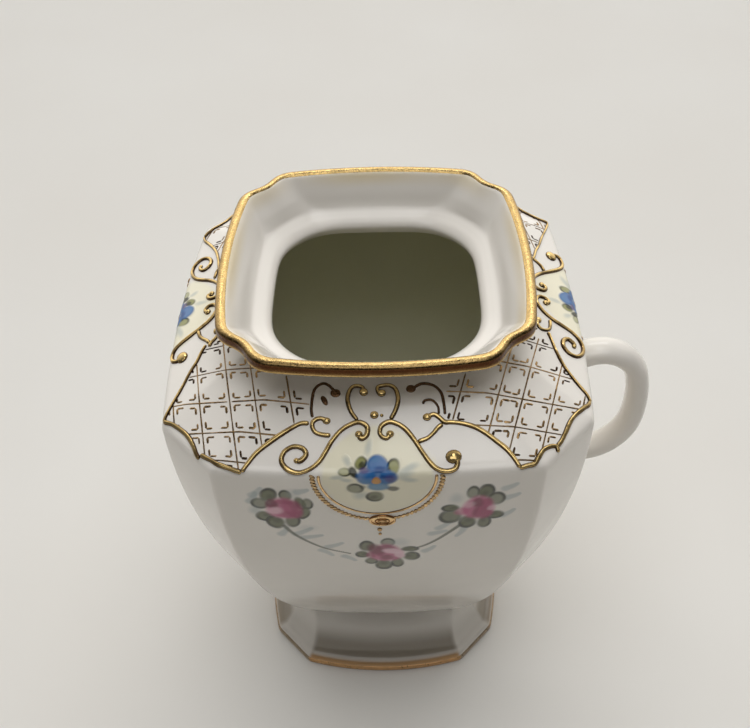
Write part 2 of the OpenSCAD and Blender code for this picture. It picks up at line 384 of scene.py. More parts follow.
def lofted(stations):
    """Rows of mesh columns for (z, w, a, bow, dip, soft) stations."""
    rows = []
    for z, w, a, bow, dip, soft in stations:
        xy, _, ridge = outline(w, a, bow, dip, soft)
        rows.append(np.column_stack([pick(xy, columns(ridge)), np.full(COLUMNS, z)]))
    return np.array(rows)


def flow_along(rows):
    """Coordinates that run round the ring and along its section, for brush marks."""
    ring = np.arange(COLUMNS) / COLUMNS * 2 * math.pi
    step = np.linalg.norm(np.diff(rows.mean(axis=1), axis=0), axis=1)
    section = np.linalg.norm(np.diff(rows[:, 0], axis=0), axis=1)
    v = np.concatenate([[0], np.cumsum(np.maximum(step, section))])
    flow = np.zeros(rows.shape)
    flow[..., 0] = np.cos(ring)
    flow[..., 1] = np.sin(ring)
    flow[..., 2] = v[:, None]
    return flow.reshape(-1, 3)


# ---------------------------------------------------------------- materials
def feed(node, **inputs):
    """Links or sets inputs of a node by their names, with _ for a space."""
    for name, value in inputs.items():
        fill(node.inputs[name.replace("_", " ")], value)


def fill(socket, value):
    if isinstance(value, bpy.types.NodeSocket):
        socket.id_data.links.new(value, socket)
    else:
        socket.default_value = value


def new_node(tree, kind, **inputs):
    node = tree.nodes.new("ShaderNode" + kind)
    feed(node, **inputs)
    return node


def shader(name, **inputs):
    """A new material's node tree and its Principled shader."""
    material = bpy.data.materials.new(name)
    material.use_nodes = True
    bsdf = material.node_tree.nodes["Principled BSDF"]
    feed(bsdf, **inputs)
    return material, material.node_tree, bsdf


def noise(tree, vector, scale, detail=2.0, rough=0.5):
    made = new_node(tree, "TexNoise", Vector=vector, Scale=scale, Detail=detail, Roughness=rough)
    return made.outputs["Fac"]


def ranged(tree, value, low, high, to_low, to_high):
    made = new_node(
        tree, "MapRange", Value=value, From_Min=low, From_Max=high, To_Min=to_low, To_Max=to_high
    )
    return made.outputs["Result"]


def mixed(tree, factor, a, b, mode="MIX"):
    """Mix of two colours, each a socket or a colour."""
    node = tree.nodes.new("ShaderNodeMix")
    node.data_type = "RGBA"
    node.blend_type = mode
    fill(node.inputs[0], factor)
    for name, value in (("A", a), ("B", b)):
        socket = [s for s in node.inputs if s.name == name and s.type == "RGBA"][0]
        fill(socket, (*value, 1) if isinstance(value, np.ndarray) else value)
    return node.outputs[2]


def bumped(tree, bsdf, height, strength, distance):
    bump = new_node(tree, "Bump", Height=height, Strength=strength, Distance=distance)
    feed(bsdf, Normal=bump.outputs["Normal"])


def place(tree, name="Object"):
    return tree.nodes.new("ShaderNodeTexCoord").outputs[name]


def mesh_attribute(tree, name, output):
    node = tree.nodes.new("ShaderNodeAttribute")
    node.attribute_name = name
    return node.outputs[output]


def toned(tree, bsdf, tone):
    """Base colour from the painted colours, darkened by a tone below one."""
    painted = mesh_attribute(tree, "paint", "Color")
    feed(bsdf, Base_Color=mixed(tree, 1.0, painted, tone, "MULTIPLY"))


def porcelain_material():
    """White glaze over the painted colours, with a slow waviness and faint grey clouding."""
    material, tree, bsdf = shader("porcelain_glaze", IOR=1.52, Coat_Weight=0.12, Coat_Roughness=0.04)
    where = place(tree)
    toned(tree, bsdf, ranged(tree, noise(tree, where, 45, 3), 0.3, 0.7, 0.965, 1.0))
    feed(bsdf, Roughness=ranged(tree, noise(tree, where, 130), 0.3, 0.7, 0.08, 0.16))
    bumped(tree, bsdf, noise(tree, where, 90, 1), 0.25, 0.0004)
    return material


def gold_material(name, roughness, grain, bump, metallic=1.0):
    """Fired gold with uneven tone; grain is the size of its unevenness per metre."""
    material, tree, bsdf = shader(name, Metallic=metallic)
    where = place(tree)
    toned(tree, bsdf, ranged(tree, noise(tree, where, grain, 3, 0.6), 0.35, 0.65, 0.72, 1.0))
    polish = noise(tree, where, grain * 2.5, 2)
    feed(bsdf, Roughness=ranged(tree, polish, 0.3, 0.7, roughness * 0.7, roughness * 1.4))
    bumped(tree, bsdf, noise(tree, where, grain * 1.6, 2), bump, 0.0002)
    return material


def brushed_gold_material(name, roughness, metallic=1.0):
    """Gold laid on with a brush: streaks that run round the rim, and fine grains."""
    material, tree, bsdf = shader(name, Metallic=metallic)
    flow = mesh_attribute(tree, "flow", "Vector")
    stretch = new_node(tree, "Mapping", Vector=flow, Scale=(14, 14, 3.2))
    streaks = noise(tree, stretch.outputs["Vector"], 1.0, 4, 0.65)
    grains = noise(tree, place(tree), 1700, 2, 0.6)
    toned(tree, bsdf, ranged(tree, streaks, 0.35, 0.65, 0.62, 1.0))
    feed(bsdf, Roughness=ranged(tree, grains, 0.35, 0.65, roughness * 0.8, roughness * 1.4))
    bumped(tree, bsdf, mixed(tree, 0.5, streaks, grains), 0.3, 0.0003)
    return material


def floor_material():
    material, tree, bsdf = shader("pale_paper", Roughness=0.7)
    tone = ranged(tree, noise(tree, place(tree), 9, 2), 0.3, 0.7, 0.0, 1.0)
    feed(bsdf, Base_Color=mixed(tree, tone, srgb(226, 223, 217), srgb(229, 227, 222)))
    return material


glaze = porcelain_material()
raised_gold = gold_material("raised_gold_paste", 0.15, 420, 0.3, 0.85)
satin_gold = gold_material("satin_gold_paste", 0.3, 500, 0.25, 0.9)
flat_gold = gold_material("flat_gilding", 0.25, 700, 0.2)
lip_gold = brushed_gold_material("brushed_lip_gold", 0.24)
foot_gold = brushed_gold_material("brushed_foot_gold", 0.34, 0.5)
RAISED = (raised_gold, "raised_gold")
SATIN = (satin_gold, "raised_gold")
FLAT = (flat_gold, "burnished_gold")


# ---------------------------------------------------------------- porcelain pieces
# A station is height, half width, flat half length, bow, corner dip and softness of the ridges
INNER_TOP = [(99.6, 20.6, 12.2, 0.4, -1, 6), (98.4, 20.2, 11.8, 0.3, -1, 6), (95.8, 24, 15.5, 0.8, -0.5, 5)]
INNER_ROWS = 34
CREAM_HALF, CREAM_DROP, CREAM_TOP = 9.3, 10.1, 8.4


def cream_amount(u, v):
    """How strongly a face carries the cream wash of the cartouche, from 0 to 1."""
    below = np.hypot(u / CREAM_HALF, np.minimum(v, 0) / CREAM_DROP)
    top = CREAM_TOP - 0.075 * u**2
    side = 1 - smooth_step(0.94, 1.0, below)
    return side * (1 - smooth_step(top - 0.5, top + 0.5, v))


def inner_belly(z):
    """Station of the inside of the belly at height z."""
    w, a, bow, dip = belly_section(z)
    return z, w - WALL, a - 0.45 * WALL, bow, dip, 3


def build_bowl():
    """Belly and shoulder outside, with the hollow inside, as one closed wall."""
    shoulder = np.append(np.arange(10, SLOPE, 0.7), SLOPE)
    rows, shades = [], []
    for v in [*np.arange(-BELLY_DROP, -13, 1.25), *np.arange(-13, 10, 0.5), *shoulder]:
        fraction = columns(np.interp(v, skin.levels, skin.ridges))
        rows.append(skin.at(0, fraction * skin.length(v), v)[0])
        nearest = np.round(fraction * 4)
        u = (fraction - nearest / 4) * skin.length(v) - np.where(nearest == HANDLE_FACE, ASIDE, 0)
        shades.append(blend(PORCELAIN, CREAM, cream_amount(u, np.full(len(u), v))[:, None]))
    inside = [inner_belly(z) for z in np.linspace(CREASE_Z - WALL, WAIST_Z, INNER_ROWS)]
    inner = lofted(catmull([*INNER_TOP, *inside], 2))
    points = np.concatenate([np.array(rows), inner])
    # Painted shade: the inside darkens towards its top, under the shoulder
    low = smooth_step(92, 55, inner[..., 2]).reshape(-1, 1)
    colours = np.concatenate([np.array(shades).reshape(-1, 3), blend(INSIDE_TOP_SHADE, INSIDE, low)])
    build = Build()
    build.add(points, tube_faces(len(points), COLUMNS, True), colours)
    build.piece("glazed_bowl", glaze, "porcelain", ["bowl"], sharp=35)


# Stations of the mouth, with heights from the neck and from the lip
MOUTH_FROM_NECK = [
    (-0.6, 21.3, 14.9, 0.7, 0, 1.5), (0.5, 21.6, 15, 0.7, 0, 1.5), (2, 22.4, 15.5, 0.9, 0.2, 1.6),
]
MOUTH_TO_LIP = [
    (-3.6, 25.2, 16.4, 1.2, 0.6, 1.8), (-2, 27.1, 17.4, 1.4, 0.8, 2), (-0.6, 27.2, 17.5, 1.4, 0.8, 2),
    (-0.3, 26.9, 17.4, 1.4, 0.8, 2),
]
MOUTH_INSIDE = [
    (-0.3, 25.9, 16.9, 1.4, 0.6, 2), (-0.8, 25.3, 16.6, 1.3, 0.45, 1.8), (-3.3, 23.6, 15.1, 1, 0.1, 1.8),
    (-5.2, 22.5, 13.6, 0.7, -0.4, 2.6), (-6.2, 21.7, 12.7, 0.5, -0.9, 4), (-6.8, 20.7, 12, 0.5, -1, 5.5),
    (-7.4, 19.7, 11.2, 0.4, -1, 6.5), (-8.3, 18.9, 10.6, 0.3, -1, 7), (-9.2, 18.8, 10.5, 0.3, -1, 7),
    (-10.4, 19.4, 11, 0.3, -1, 7),
]


def raised(stations, z):
    return [(z + height, *rest) for height, *rest in stations]


def build_mouth():
    """Flared mouth with hollow-cut corners, and the soft ledge down to the throat."""
    outer = catmull(raised(MOUTH_FROM_NECK, NECK_Z) + raised(MOUTH_TO_LIP, LIP_Z), 4)
    rows = lofted(np.vstack([outer, catmull(raised(MOUTH_INSIDE, LIP_Z), 5)]))
    within = np.arange(len(rows)) >= len(outer)
    stain = within[:, None] * smooth_step(LIP_Z - 3.0, LIP_Z - 0.9, rows[..., 2])
    drift = 0.5 + 0.5 * np.sin(np.arange(COLUMNS) * 0.031) * np.sin(np.arange(COLUMNS) * 0.083 + 1)
    stain = (0.75 * stain * drift).reshape(-1, 1)
    build = Build()
    build.add(rows, tube_faces(len(rows), COLUMNS, True), blend(PORCELAIN, RIM_STAIN, stain))
    build.piece("flared_mouth", glaze, "porcelain", ["mouth"])


def foot_shade(height):
    """Colours of the foot: painted shade greying the cove of each face, less on the cut corners, and gold
    stain above the gold line.
    """
    column = np.arange(len(height)) % COLUMNS
    aside, on_side = FROM_CORNER[column][:, None], ON_SIDE[column][:, None]
    dark = smooth_step(11.5, 5, height) * smooth_step(1.5, 2.4, height)
    dark *= 0.3 + 0.7 * smooth_step(0.12, 0.2, aside)
    stain = smooth_step(2.9, 2.2, height) * smooth_step(0.13, 0.18, aside) * (0.8 - 0.7 * on_side)
    return blend(blend(PORCELAIN, FOOT_SHADE, dark), FOOT_STAIN, stain)


FOOT_SOFT = 1.4
FOOT_INSIDE = [
    (10, 19.5, 14.5, 1, 0, 3), (5, 22, 15.2, 1.2, 0, 3), (3.3, 21.5, 14.8, 1.2, -0.3, 3),
    (3, 20, 14, 1, -0.3, 3),
]


def build_foot():
    """Spreading foot with a steep plinth face, a cove up to the waist and a flat base."""
    edge = BAND_HALF - 0.25
    outer = [
        (0, edge - 0.7, 18.3, 2.4), (0.12, edge - 0.25, 18.6, 2.5), (0.5, edge, 18.8, 2.5),
        (1.5, edge, 18.8, 2.5), (2.1, edge - 0.4, 18.5, 2.4), (2.6, edge - 0.9, 18.2, 2.3),
        (3.2, 27.1, 17.9, 2.2), (5, 25.8, 17.3, 1.9), (7.4, 24.5, 16.9, 1.6), (10, 23.1, 16.6, 1.3),
        (12.2, 21.6, 16.6, 1),
    ]
    w, a, bow, dip = belly_section(WAIST_Z)
    top = (WAIST_Z, w - 0.05, a, bow, dip, RIDGE_SOFT)
    outer = catmull([*[(*station, 0, FOOT_SOFT) for station in outer], top], 4)
    rows = lofted(np.vstack([outer, catmull([inner_belly(WAIST_Z), *FOOT_INSIDE], 4)]))
    base = [(0.0, 0.0, rows[0, 0, 2]), (0.0, 0.0, rows[-1, 0, 2])]
    last = (len(rows) - 1) * COLUMNS
    below, above = len(rows) * COLUMNS, len(rows) * COLUMNS + 1
    faces = tube_faces(len(rows), COLUMNS, False)
    faces += [[(i + 1) % COLUMNS, i, below] for i in range(COLUMNS)]
    faces += [[last + i, last + (i + 1) % COLUMNS, above] for i in range(COLUMNS)]
    shade = foot_shade(np.append(rows[..., 2].ravel(), [0, 0])[:, None])
    shade[len(outer) * COLUMNS:-2] = INSIDE
    shade[-1] = INSIDE
    build = Build()
    build.add(np.vstack([rows.reshape(-1, 3), base]), faces, shade)
    build.piece("spreading_foot", glaze, "porcelain", ["foot"], sharp=35)


HANDLE_SIDES = 48
HANDLE_THICK = 4.6
HANDLE_SWELL, SWELL_REACH = 0.42, 3.6
HANDLE_SINK = 2.2
# Middle of the handle as distance from the axis and height
HANDLE_PATH = [
    (35.5, 77.6), (37.6, 79.6), (41, 82.1), (45, 82.8), (48.6, 81.4), (51.6, 78), (53.3, 72.5), (54, 66),
    (53.6, 60.5), (51.6, 56), (48.4, 52.8), (44, 51.2), (39.5, 50.4), (35.2, 50),
]


def build_handle():
    """Loop handle of oval section that swells where it joins the belly."""
    path = catmull(HANDLE_PATH, 10)
    path[:, 0] += handle_hi[0] - HANDLE_THICK / 2 - path[:, 0].max()
    tangent = unit(np.gradient(path, axis=0))
    run = run_along(path)
    near = np.minimum(run, run[-1] - run)
    swell = 1 + HANDLE_SWELL * np.exp(-((near / SWELL_REACH) ** 2))
    angle = np.linspace(0, 2 * math.pi, HANDLE_SIDES, endpoint=False)
    side = np.sign(np.cos(angle)) * np.abs(np.cos(angle)) ** 0.9
    rows = []
    for p, t, s in zip(path, tangent, swell):
        out = HANDLE_THICK / 2 * s * side
        x, z = p[0] - t[1] * out, p[1] + t[0] * out
        rows.append(np.column_stack([x, -handle_hi[1] * s ** 0.8 * np.sin(angle), z]))
    rows = np.array(rows)
    rows[..., 0] = np.maximum(rows[..., 0], belly_half(rows[..., 2]) - HANDLE_SINK)
    build = Build()
    last = (len(rows) - 1) * HANDLE_SIDES
    caps = [list(range(HANDLE_SIDES - 1, -1, -1)), [last + i for i in range(HANDLE_SIDES)]]
    build.add(rows, tube_faces(len(rows), HANDLE_SIDES, False) + caps)
    build.piece("loop_handle", glaze, "porcelain", ["handle"])


# Sections of gold as height, steps out of the half width and the flat half length, and
# brightness, a painted highlight where high and painted shade where low; the lip's heights are from its top
LIP_GOLD_TOP, LIP_GOLD_FLAT, FOOT_GOLD_FLAT = LIP_Z - 0.01, 17.6, 18.9
LIP_SECTION = [
    (-2.05, -0.3, -0.1, 0.3), (-1.95, -0.02, 0, 0.7), (-1.75, 0, 0, 0.8), (-1.5, -0.05, 0, 0.15),
    (-0.8, -0.1, 0, 0), (-0.4, -0.14, 0, 0.1), (-0.12, -0.4, -0.1, 0.55), (0, -0.85, -0.3, 0.86),
    (-0.04, -1.25, -0.4, 1), (-0.2, -1.6, -0.5, 1), (-0.45, -1.85, -0.7, 0.7), (-0.8, -2.05, -0.8, 0.4),
    (-0.95, -1.8, -0.8, 0.4),
]
FOOT_SECTION = [
    (0.3, -0.3, -0.1, 0.5), (0.4, -0.05, 0, 0.7), (0.6, 0, 0, 0.9), (1.3, 0, 0, 1), (1.6, -0.1, 0, 1),
    (1.85, -0.5, -0.1, 0.9),
]
RUBBED = 0.85


def build_lip_gold():
    """Gold over the rim: a softly rounded top and a narrow turned-down edge."""
    dips = np.interp(np.arange(len(LIP_SECTION)), [0, 8, 12], [0.85, 0.75, 0.5])
    stations = [
        (LIP_GOLD_TOP + z, LIP_HALF + out, LIP_GOLD_FLAT + along, 1.4, dip, 2, tone)
        for (z, out, along, tone), dip in zip(LIP_SECTION, dips)
    ]
    gold_band("lip_gold", lip_gold, "lip_gilding", stations, LIP_GOLD_SHADED, LIP_GOLD_LIT)


def build_foot_gold():
    """Gold line round the edge of the foot."""
    stations = [
        (z, BAND_HALF + out, FOOT_GOLD_FLAT + along, 2.5, 0, FOOT_SOFT, tone)
        for z, out, along, tone in FOOT_SECTION
    ]
    gold_band("foot_gold", foot_gold, "foot_gilding", stations, SATIN_SHADED, FOOT_GOLD_LIT, 1)


def gold_band(name, material, node, stations, deep, bright, patchiness=0):
    """A closed band of gold whose last station value is its painted brightness, from painted shade in
    brown to a painted highlight in gold. Its last argument is how far it has rubbed pale on the cut corners
    and on the left and right faces."""
    stations = catmull(stations, 3)
    rows = lofted(stations[:, :6])
    tone = np.repeat(np.clip(stations[:, 6], 0, 1), COLUMNS)[:, None]
    bare = patchiness * np.maximum(smooth_step(0.18, 0.13, FROM_CORNER), 0.8 * ON_SIDE)
    bare = np.tile(bare, len(rows))[:, None] * RUBBED
    build = Build()
    colour = blend(blend(deep, bright, tone), FOOT_BARE, bare)
    build.add(rows, tube_faces(len(rows), COLUMNS, True), colour)
    build.piece(name, material, "burnished_gold", [node], flow=flow_along(rows))


# ---------------------------------------------------------------- raised lines on the skin
SECTION = np.radians(np.linspace(-105, 105, 13))
# Where across the section of a raised line its painted highlight shows
CREST_HIGHLIGHT = smooth_step(1.0, 0.4, np.abs(SECTION))[:, None]
ROUND_END = 0.4


def path_points(path, step=0.22):
    """Even points along a smooth run through path, closer together over its rounded ends."""
    dense = catmull(path, 24)
    run = run_along(dense)
    close = ROUND_END * (1 - np.cos(np.linspace(0, math.pi / 2, 6)))
    even = np.linspace(ROUND_END, run[-1] - ROUND_END, max(int(run[-1] / step), 4))
    marks = np.unique(np.round(np.concatenate([even, close, run[-1] - close]), 4))
    return np.column_stack([np.interp(marks, run, dense[:, i]) for i in range(dense.shape[1])]), marks


def domed_line(build, points, normals, marks, width, height, sink, crest, flank):
    """A raised line with a domed section and round ends over points of the skin, coloured as painted shade of
    colour flank on its sides and a painted highlight of colour crest along its top.
    """
    tangent = unit(np.gradient(points, axis=0))
    side = unit(np.cross(tangent, normals))
    height = np.broadcast_to(height, marks.shape)
    near = np.minimum(marks, marks[-1] - marks)
    cap = np.sqrt(np.clip(1 - (1 - np.minimum(near / (width / 2), 1)) ** 2, 0.0004, 1))
    across = (width / 2 * cap)[:, None] * np.sin(SECTION)
    lift = (height * cap)[:, None] * np.cos(SECTION) - sink * (np.abs(SECTION) > 1.6)
    rows = points[:, None] + side[:, None] * across[..., None] + normals[:, None] * lift[..., None]
    n = len(SECTION)
    last = (len(rows) - 1) * n
    # The painted highlight along the crest is stronger in some stretches than in others
    patchiness = np.clip(uneven(marks, 0.65, 1.6), 0.35, 1)[:, None, None]
    colour = blend(flank, crest, CREST_HIGHLIGHT[None] * patchiness).reshape(-1, 3)
    ends = [list(range(n - 1, -1, -1)), [last + i for i in range(n)]]
    build.add(rows, tube_faces(len(rows), n, False) + ends, colour)


def uneven(marks, amount, spacing=2.2):
    """A slow hand-drawn variation about 1, seeded."""
    knots = np.arange(0, marks[-1] + 2 * spacing, spacing)
    return 1 + amount * np.interp(marks, knots, rng.uniform(-1, 1, len(knots)))


def skin_line(build, turn, path, width, height, crest=GOLD_LIT, flank=GOLD_SHADED):
    """A raised line along (u, v) points of a face or corner, with a painted highlight of colour crest along
    its top and painted shade of colour flank on its sides.
    """
    uv, marks = path_points(path)
    points, normals = skin.at(turn, uv[:, 0], uv[:, 1])
    swell = uneven(marks, 0.12)
    domed_line(build, points, normals, marks, width * swell, height * swell**0.5, 0.12, crest, flank)


def dome(
    build, turn, centre, size, height, angle=0.0, rings=5, around=14, crest=GOLD_LIT, flank=GOLD_SHADED
):
    """An oval drop of gold on the skin, with a painted highlight of colour crest on top and painted shade of
    colour flank round its edge.
    """
    r = np.sin(np.linspace(math.pi / 2, 0, rings + 1))[:-1]
    phi = np.linspace(0, 2 * math.pi, around, endpoint=False)
    x = np.outer(r, np.cos(phi)) * size[0]
    y = np.outer(r, np.sin(phi)) * size[1]
    c, s = math.cos(angle), math.sin(angle)
    u = np.append((centre[0] + x * c - y * s).ravel(), centre[0])
    v = np.append((centre[1] + x * s + y * c).ravel(), centre[1])
    lift = np.append(np.repeat(height * np.sqrt(1 - r**2), around), height)
    lift[:around] = -0.15
    points, normals = skin.at(turn, u, v)
    top = len(u) - 1
    ring = (rings - 1) * around
    faces = tube_faces(rings, around, False) + [list(range(around - 1, -1, -1))]
    faces += [[ring + i, ring + (i + 1) % around, top] for i in range(around)]
    bright = smooth_step(1.0, 0.75, np.append(np.repeat(r, around), 0))[:, None]
    build.add(points + normals * lift[:, None], faces, blend(flank, crest, bright))


# ---------------------------------------------------------------- scrolls, hearts and arcs
LEFT_SCROLL = [
    (-3.0, 6.7), (-2.4, 6.2), (-1.6, 6.9), (-1.6, 8.2), (-2.8, 8.9), (-4.3, 8.5), (-5.8, 7.5), (-7.2, 5.8),
    (-8.2, 4), (-9.2, 2.4), (-10.6, 1.2), (-12.5, 0.5), (-14.2, 1), (-15.2, 2.3), (-14.8, 3.8),
    (-13.4, 4.7), (-11.9, 4.5), (-11.3, 3.5), (-12.1, 2.5), (-12.9, 2.4),
]
RIGHT_SCROLL = [
    (2.2, 6.8), (1.4, 6.2), (0.5, 6.9), (0.7, 8.2), (1.9, 8.9), (3.2, 8.6), (4.5, 7.7), (5.7, 6.2),
    (7.1, 3.9), (8.3, 2.1), (9.4, 1), (10.8, 0.5), (12.2, 0.8), (12.7, 1.9), (12.2, 2.6),
]
LEFT_HOOK = [(-8.1, 9.2), (-9.2, 9.5), (-10.2, 9), (-10.4, 8.1), (-9.9, 7.2), (-8.8, 6.8), (-7.4, 6.7)]
RIGHT_SPRIG = [(6.5, 5.5), (8, 6), (9.1, 6.9), (9.8, 7.7), (10.6, 8.2)]
RIGHT_CURL = [(8.2, 9.6), (9.2, 9.9), (10, 9.4), (10.8, 8.6), (11.6, 8.4)]
LEFT_HEART = [
    (-2.1, 14.1), (-2.3, 14.8), (-3.1, 15.1), (-3.9, 14.9), (-4.5, 14.0), (-4.7, 12.6), (-4.2, 10.8),
    (-3.1, 9.2),
]
RIGHT_HEART = [
    (1.0, 13.5), (0.3, 13.9), (0.2, 14.8), (1.1, 15.1), (2.2, 15.1), (3.1, 14.4), (3.5, 12.8), (3.1, 11),
    (2.2, 9.3),
]
# Lines are path, width and height, and drops are u, v, half width, half height, height and, on
# some, angle
SCROLL_LINES = [
    (LEFT_SCROLL, 0.84, 0.45), (RIGHT_SCROLL, 0.84, 0.45), (LEFT_HOOK, 0.75, 0.38),
    (RIGHT_SPRIG, 0.75, 0.38), (RIGHT_CURL, 0.8, 0.4),
]
SCROLL_DROPS = [
    (12.1, 2.8, 1.35, 1.15, 0.6), (-12.8, 2.45, 0.5, 0.45, 0.45), (-2.9, 6.9, 0.65, 0.6, 0.5),
    (2.1, 6.9, 0.65, 0.6, 0.5), (-8.1, 9.1, 0.7, 0.6, 0.45), (8.1, 9.5, 0.75, 0.65, 0.5),
]
# The hearts take a dimmer painted highlight on their crests
HEART_LINES = [(path, 0.74, 0.4, GOLD_LIT * 0.6) for path in (LEFT_HEART, RIGHT_HEART)]
HEART_DROPS = [
    (-2.1, 14.0, 0.75, 0.7, 0.45), (0.8, 13.8, 0.75, 0.65, 0.45), (-0.4, 10.1, 0.72, 0.68, 0.5),
    (0.8, 10.0, 0.3, 0.28, 0.3),
]
# Thin flat scrolls that climb from the arches to the neck
UPPER_LEFT = [(-10.4, 9.6), (-10.6, 11.3), (-10.2, 14.2), (-8.9, 15.4), (-7.8, 15.1), (-6.9, 14.2)]
UPPER_RIGHT = [(5.8, 14.4), (7.4, 15.2), (9.3, 14.8), (10.5, 13.5), (10.9, 11.5), (11, 9.8)]
UPPER_CURL = [(7.5, 11.7), (7.8, 12.3), (9, 12.3), (9.9, 11.2), (10, 9.9)]
UPPER_DROPS = [(-6.7, 13.8, 0.9, 0.75, 0.12), (5.6, 14.4, 0.85, 0.7, 0.12), (-8.5, 12.5, 0.5, 0.95, 0.1, 0.5)]
UPPER_LINES = [(UPPER_LEFT, 0.5, 0.1), (UPPER_RIGHT, 0.5, 0.1), (UPPER_CURL, 0.45, 0.1)]
# The thin flat scrolls take dark copies of the flat gold: painted shade with a faint painted highlight
UPPER_TONE = {"crest": FLAT_SHADED * 1.6, "flank": FLAT_SHADED}

ARC_HALF, ARC_DROP, HANDLE_SIDE_DROP = 9.4, 10.2, 7.0
ROPE_HALF, ROPE_DROP = 10.4, 12.0
BEAD_STEP, BEAD_TWIST = 0.8, math.radians(48)
MEDALLION = np.array((0.6, -12.2))


def arc_path(half, drop):
    t = np.linspace(0, math.pi, 16)
    return np.column_stack([-half * np.cos(t), -drop * np.sin(t)])


def ornament_turn(k):
    """Quarter turns to the middle of a face's ornament, which sits aside on the handle face."""
    return k + (4 * ASIDE / skin.lengths[-1] * 0.62 if k == HANDLE_FACE else 0)


def build_ornament(name, k, lines, drops, gold, stands_for=(), **tone):
    """Lines and drops in the middle of face k as one piece; gold is a material and a slot name, and the slot
    name is not used.
    """
    build, turn = Build(), ornament_turn(k)
    for path, *shape in lines:
        skin_line(build, turn, path, *shape, **tone)
    for u, v, across, up, *rest in drops:
        dome(build, turn, (u, v), (across, up), *rest, **tone)
    build.piece(name, *gold, stands_for)


def build_arc(name, k):
    build = Build()
    drop = HANDLE_SIDE_DROP if k == HANDLE_FACE else ARC_DROP
    skin_line(build, ornament_turn(k), arc_path(ARC_HALF, drop), 0.5, 0.14, SATIN_LIT, SATIN_SHADED)
    build.piece(f"cartouche_arc_{name}_gold", *SATIN, [f"cartouche_arc_{name}"])


def build_rope(name, k):
    """Twisted rope: oblique beads that overlap along an arc."""
    build = Build()
    uv, marks = path_points(arc_path(ROPE_HALF, ROPE_DROP), 0.1)
    slope = np.gradient(uv, axis=0)
    for n, d in enumerate(np.arange(0.3, marks[-1] - 0.2, BEAD_STEP)):
        i = int(np.argmin(np.abs(marks - d)))
        heading = math.atan2(slope[i, 1], slope[i, 0])
        # Painted highlight on each bead, dimmer on every other bead
        tone = SATIN_LIT * (0.55 + 0.45 * rng.random()) if n % 2 else SATIN_LIT * 0.6
        dome(build, k, uv[i], (0.62, 0.32), 0.24, heading + BEAD_TWIST, 4, 12, tone, SATIN_SHADED)
    skin_line(build, k, arc_path(ROPE_HALF, ROPE_DROP), 0.6, 0.1, SATIN_LIT, SATIN_SHADED)
    build.piece(f"rope_{name}", *SATIN, [f"rope_swag_{name}"])


def build_medallion(name, k):
    """Oval boss with a raised rim, two lines inside it and two small drops hanging below."""
    build = Build()
    # Painted highlight and painted shade on the boss, its rim, its lines and its drops
    tones = {"crest": SATIN_LIT, "flank": SATIN_SHADED * 2}
    dome(build, k, MEDALLION, (2.2, 1.5), 0.34, 0, 7, 28, SATIN_LIT, SATIN_LIT * 0.8)
    t = np.linspace(0, 2 * math.pi, 25)
    ring = np.column_stack([np.cos(t), np.sin(t)])
    skin_line(build, k, MEDALLION + ring * (2.05, 1.35), 0.5, 0.4, **tones)
    skin_line(build, k, MEDALLION + ring * (1.2, 0.75), 0.3, 0.46, SATIN_SHADED * 2, SATIN_SHADED)
    skin_line(build, k, MEDALLION + ring * (0.7, 0.4), 0.3, 0.5, **tones)
    dome(build, k, (0.1, -15.4), (0.45, 0.6), 0.3, 0, 4, 12, FLAT_LIT, FLAT_SHADED)
    dome(build, k, (0.15, -17.0), (0.3, 0.45), 0.2, 0, 4, 12, FLAT_LIT, FLAT_SHADED)
    build.piece(f"medallion_{name}_gold", *SATIN, [f"medallion_{name}"])


# ---------------------------------------------------------------- corner outlines and lattice
LEFT_ARCH = [
    (-10.9, 8.6), (-12.4, 8.5), (-14.9, 7), (-17.4, 5.1), (-19.3, 3.4), (-20.5, 1.8), (-21.6, 0.2),
]
RIGHT_ARCH = [
    (10.9, 8.5), (12.4, 8.4), (14.2, 8), (15.9, 7.3), (17.5, 6.2), (19.1, 4.8), (20.5, 3.5), (21.6, 2),
    (22.6, 0.3),
]
SIDE_LEFT_ARCH = [
    (-9, 7.5), (-10.4, 7.1), (-13.1, 6.4), (-16, 5.3), (-18, 4.1), (-19.9, 2.7), (-21.6, 1.3), (-23.2, 0.6),
]
SIDE_RIGHT_ARCH = [
    (10.9, 7.6), (12.3, 6.9), (14.4, 6.1), (16.6, 4.9), (19.6, 3.6), (22.9, 1.9), (25, 0.9), (26.2, 0.5),
]
EIGHTH = skin.lengths[np.argmin(np.abs(skin.levels))] / 8
# Two scallops over a cut corner, along it from its left end to its right end
SCALLOPS_EVEN = (
    [
        (22.7 - EIGHTH, 0.2), (-9.2, 0.5), (-7.9, 0.7), (-6.6, 1.5), (-4.9, 1.9), (-3.4, 1.6),
        (-2.6, 1.0), (-3.1, 0.2),
    ],
    [(-2.5, 1.0), (-1.2, 1.1), (0.7, 1.6), (2.8, 2.2), (4.5, 2.4), (6.5, 2.2), (8.4, 1.2), (9.6, 0.8)],
)
SCALLOPS_ODD = (
    [(-7, 0.5), (-5.2, 1.2), (-2.8, 1.5), (-1.4, 1.5), (-0.1, 1.3), (1.3, 0.9), (2.5, 0.4), (3.5, 0.1)],
    [(3.2, 0.8), (4.4, 1.0), (6.2, 1.3), (8.4, 0.9), (10, 0.5), (11.6, 0.1)],
)


def arches(k):
    """Arch at the right of face k and arch at the left of the next face."""
    right = SIDE_RIGHT_ARCH if k % 2 else RIGHT_ARCH
    left = LEFT_ARCH if k % 2 else SIDE_LEFT_ARCH
    return right, left


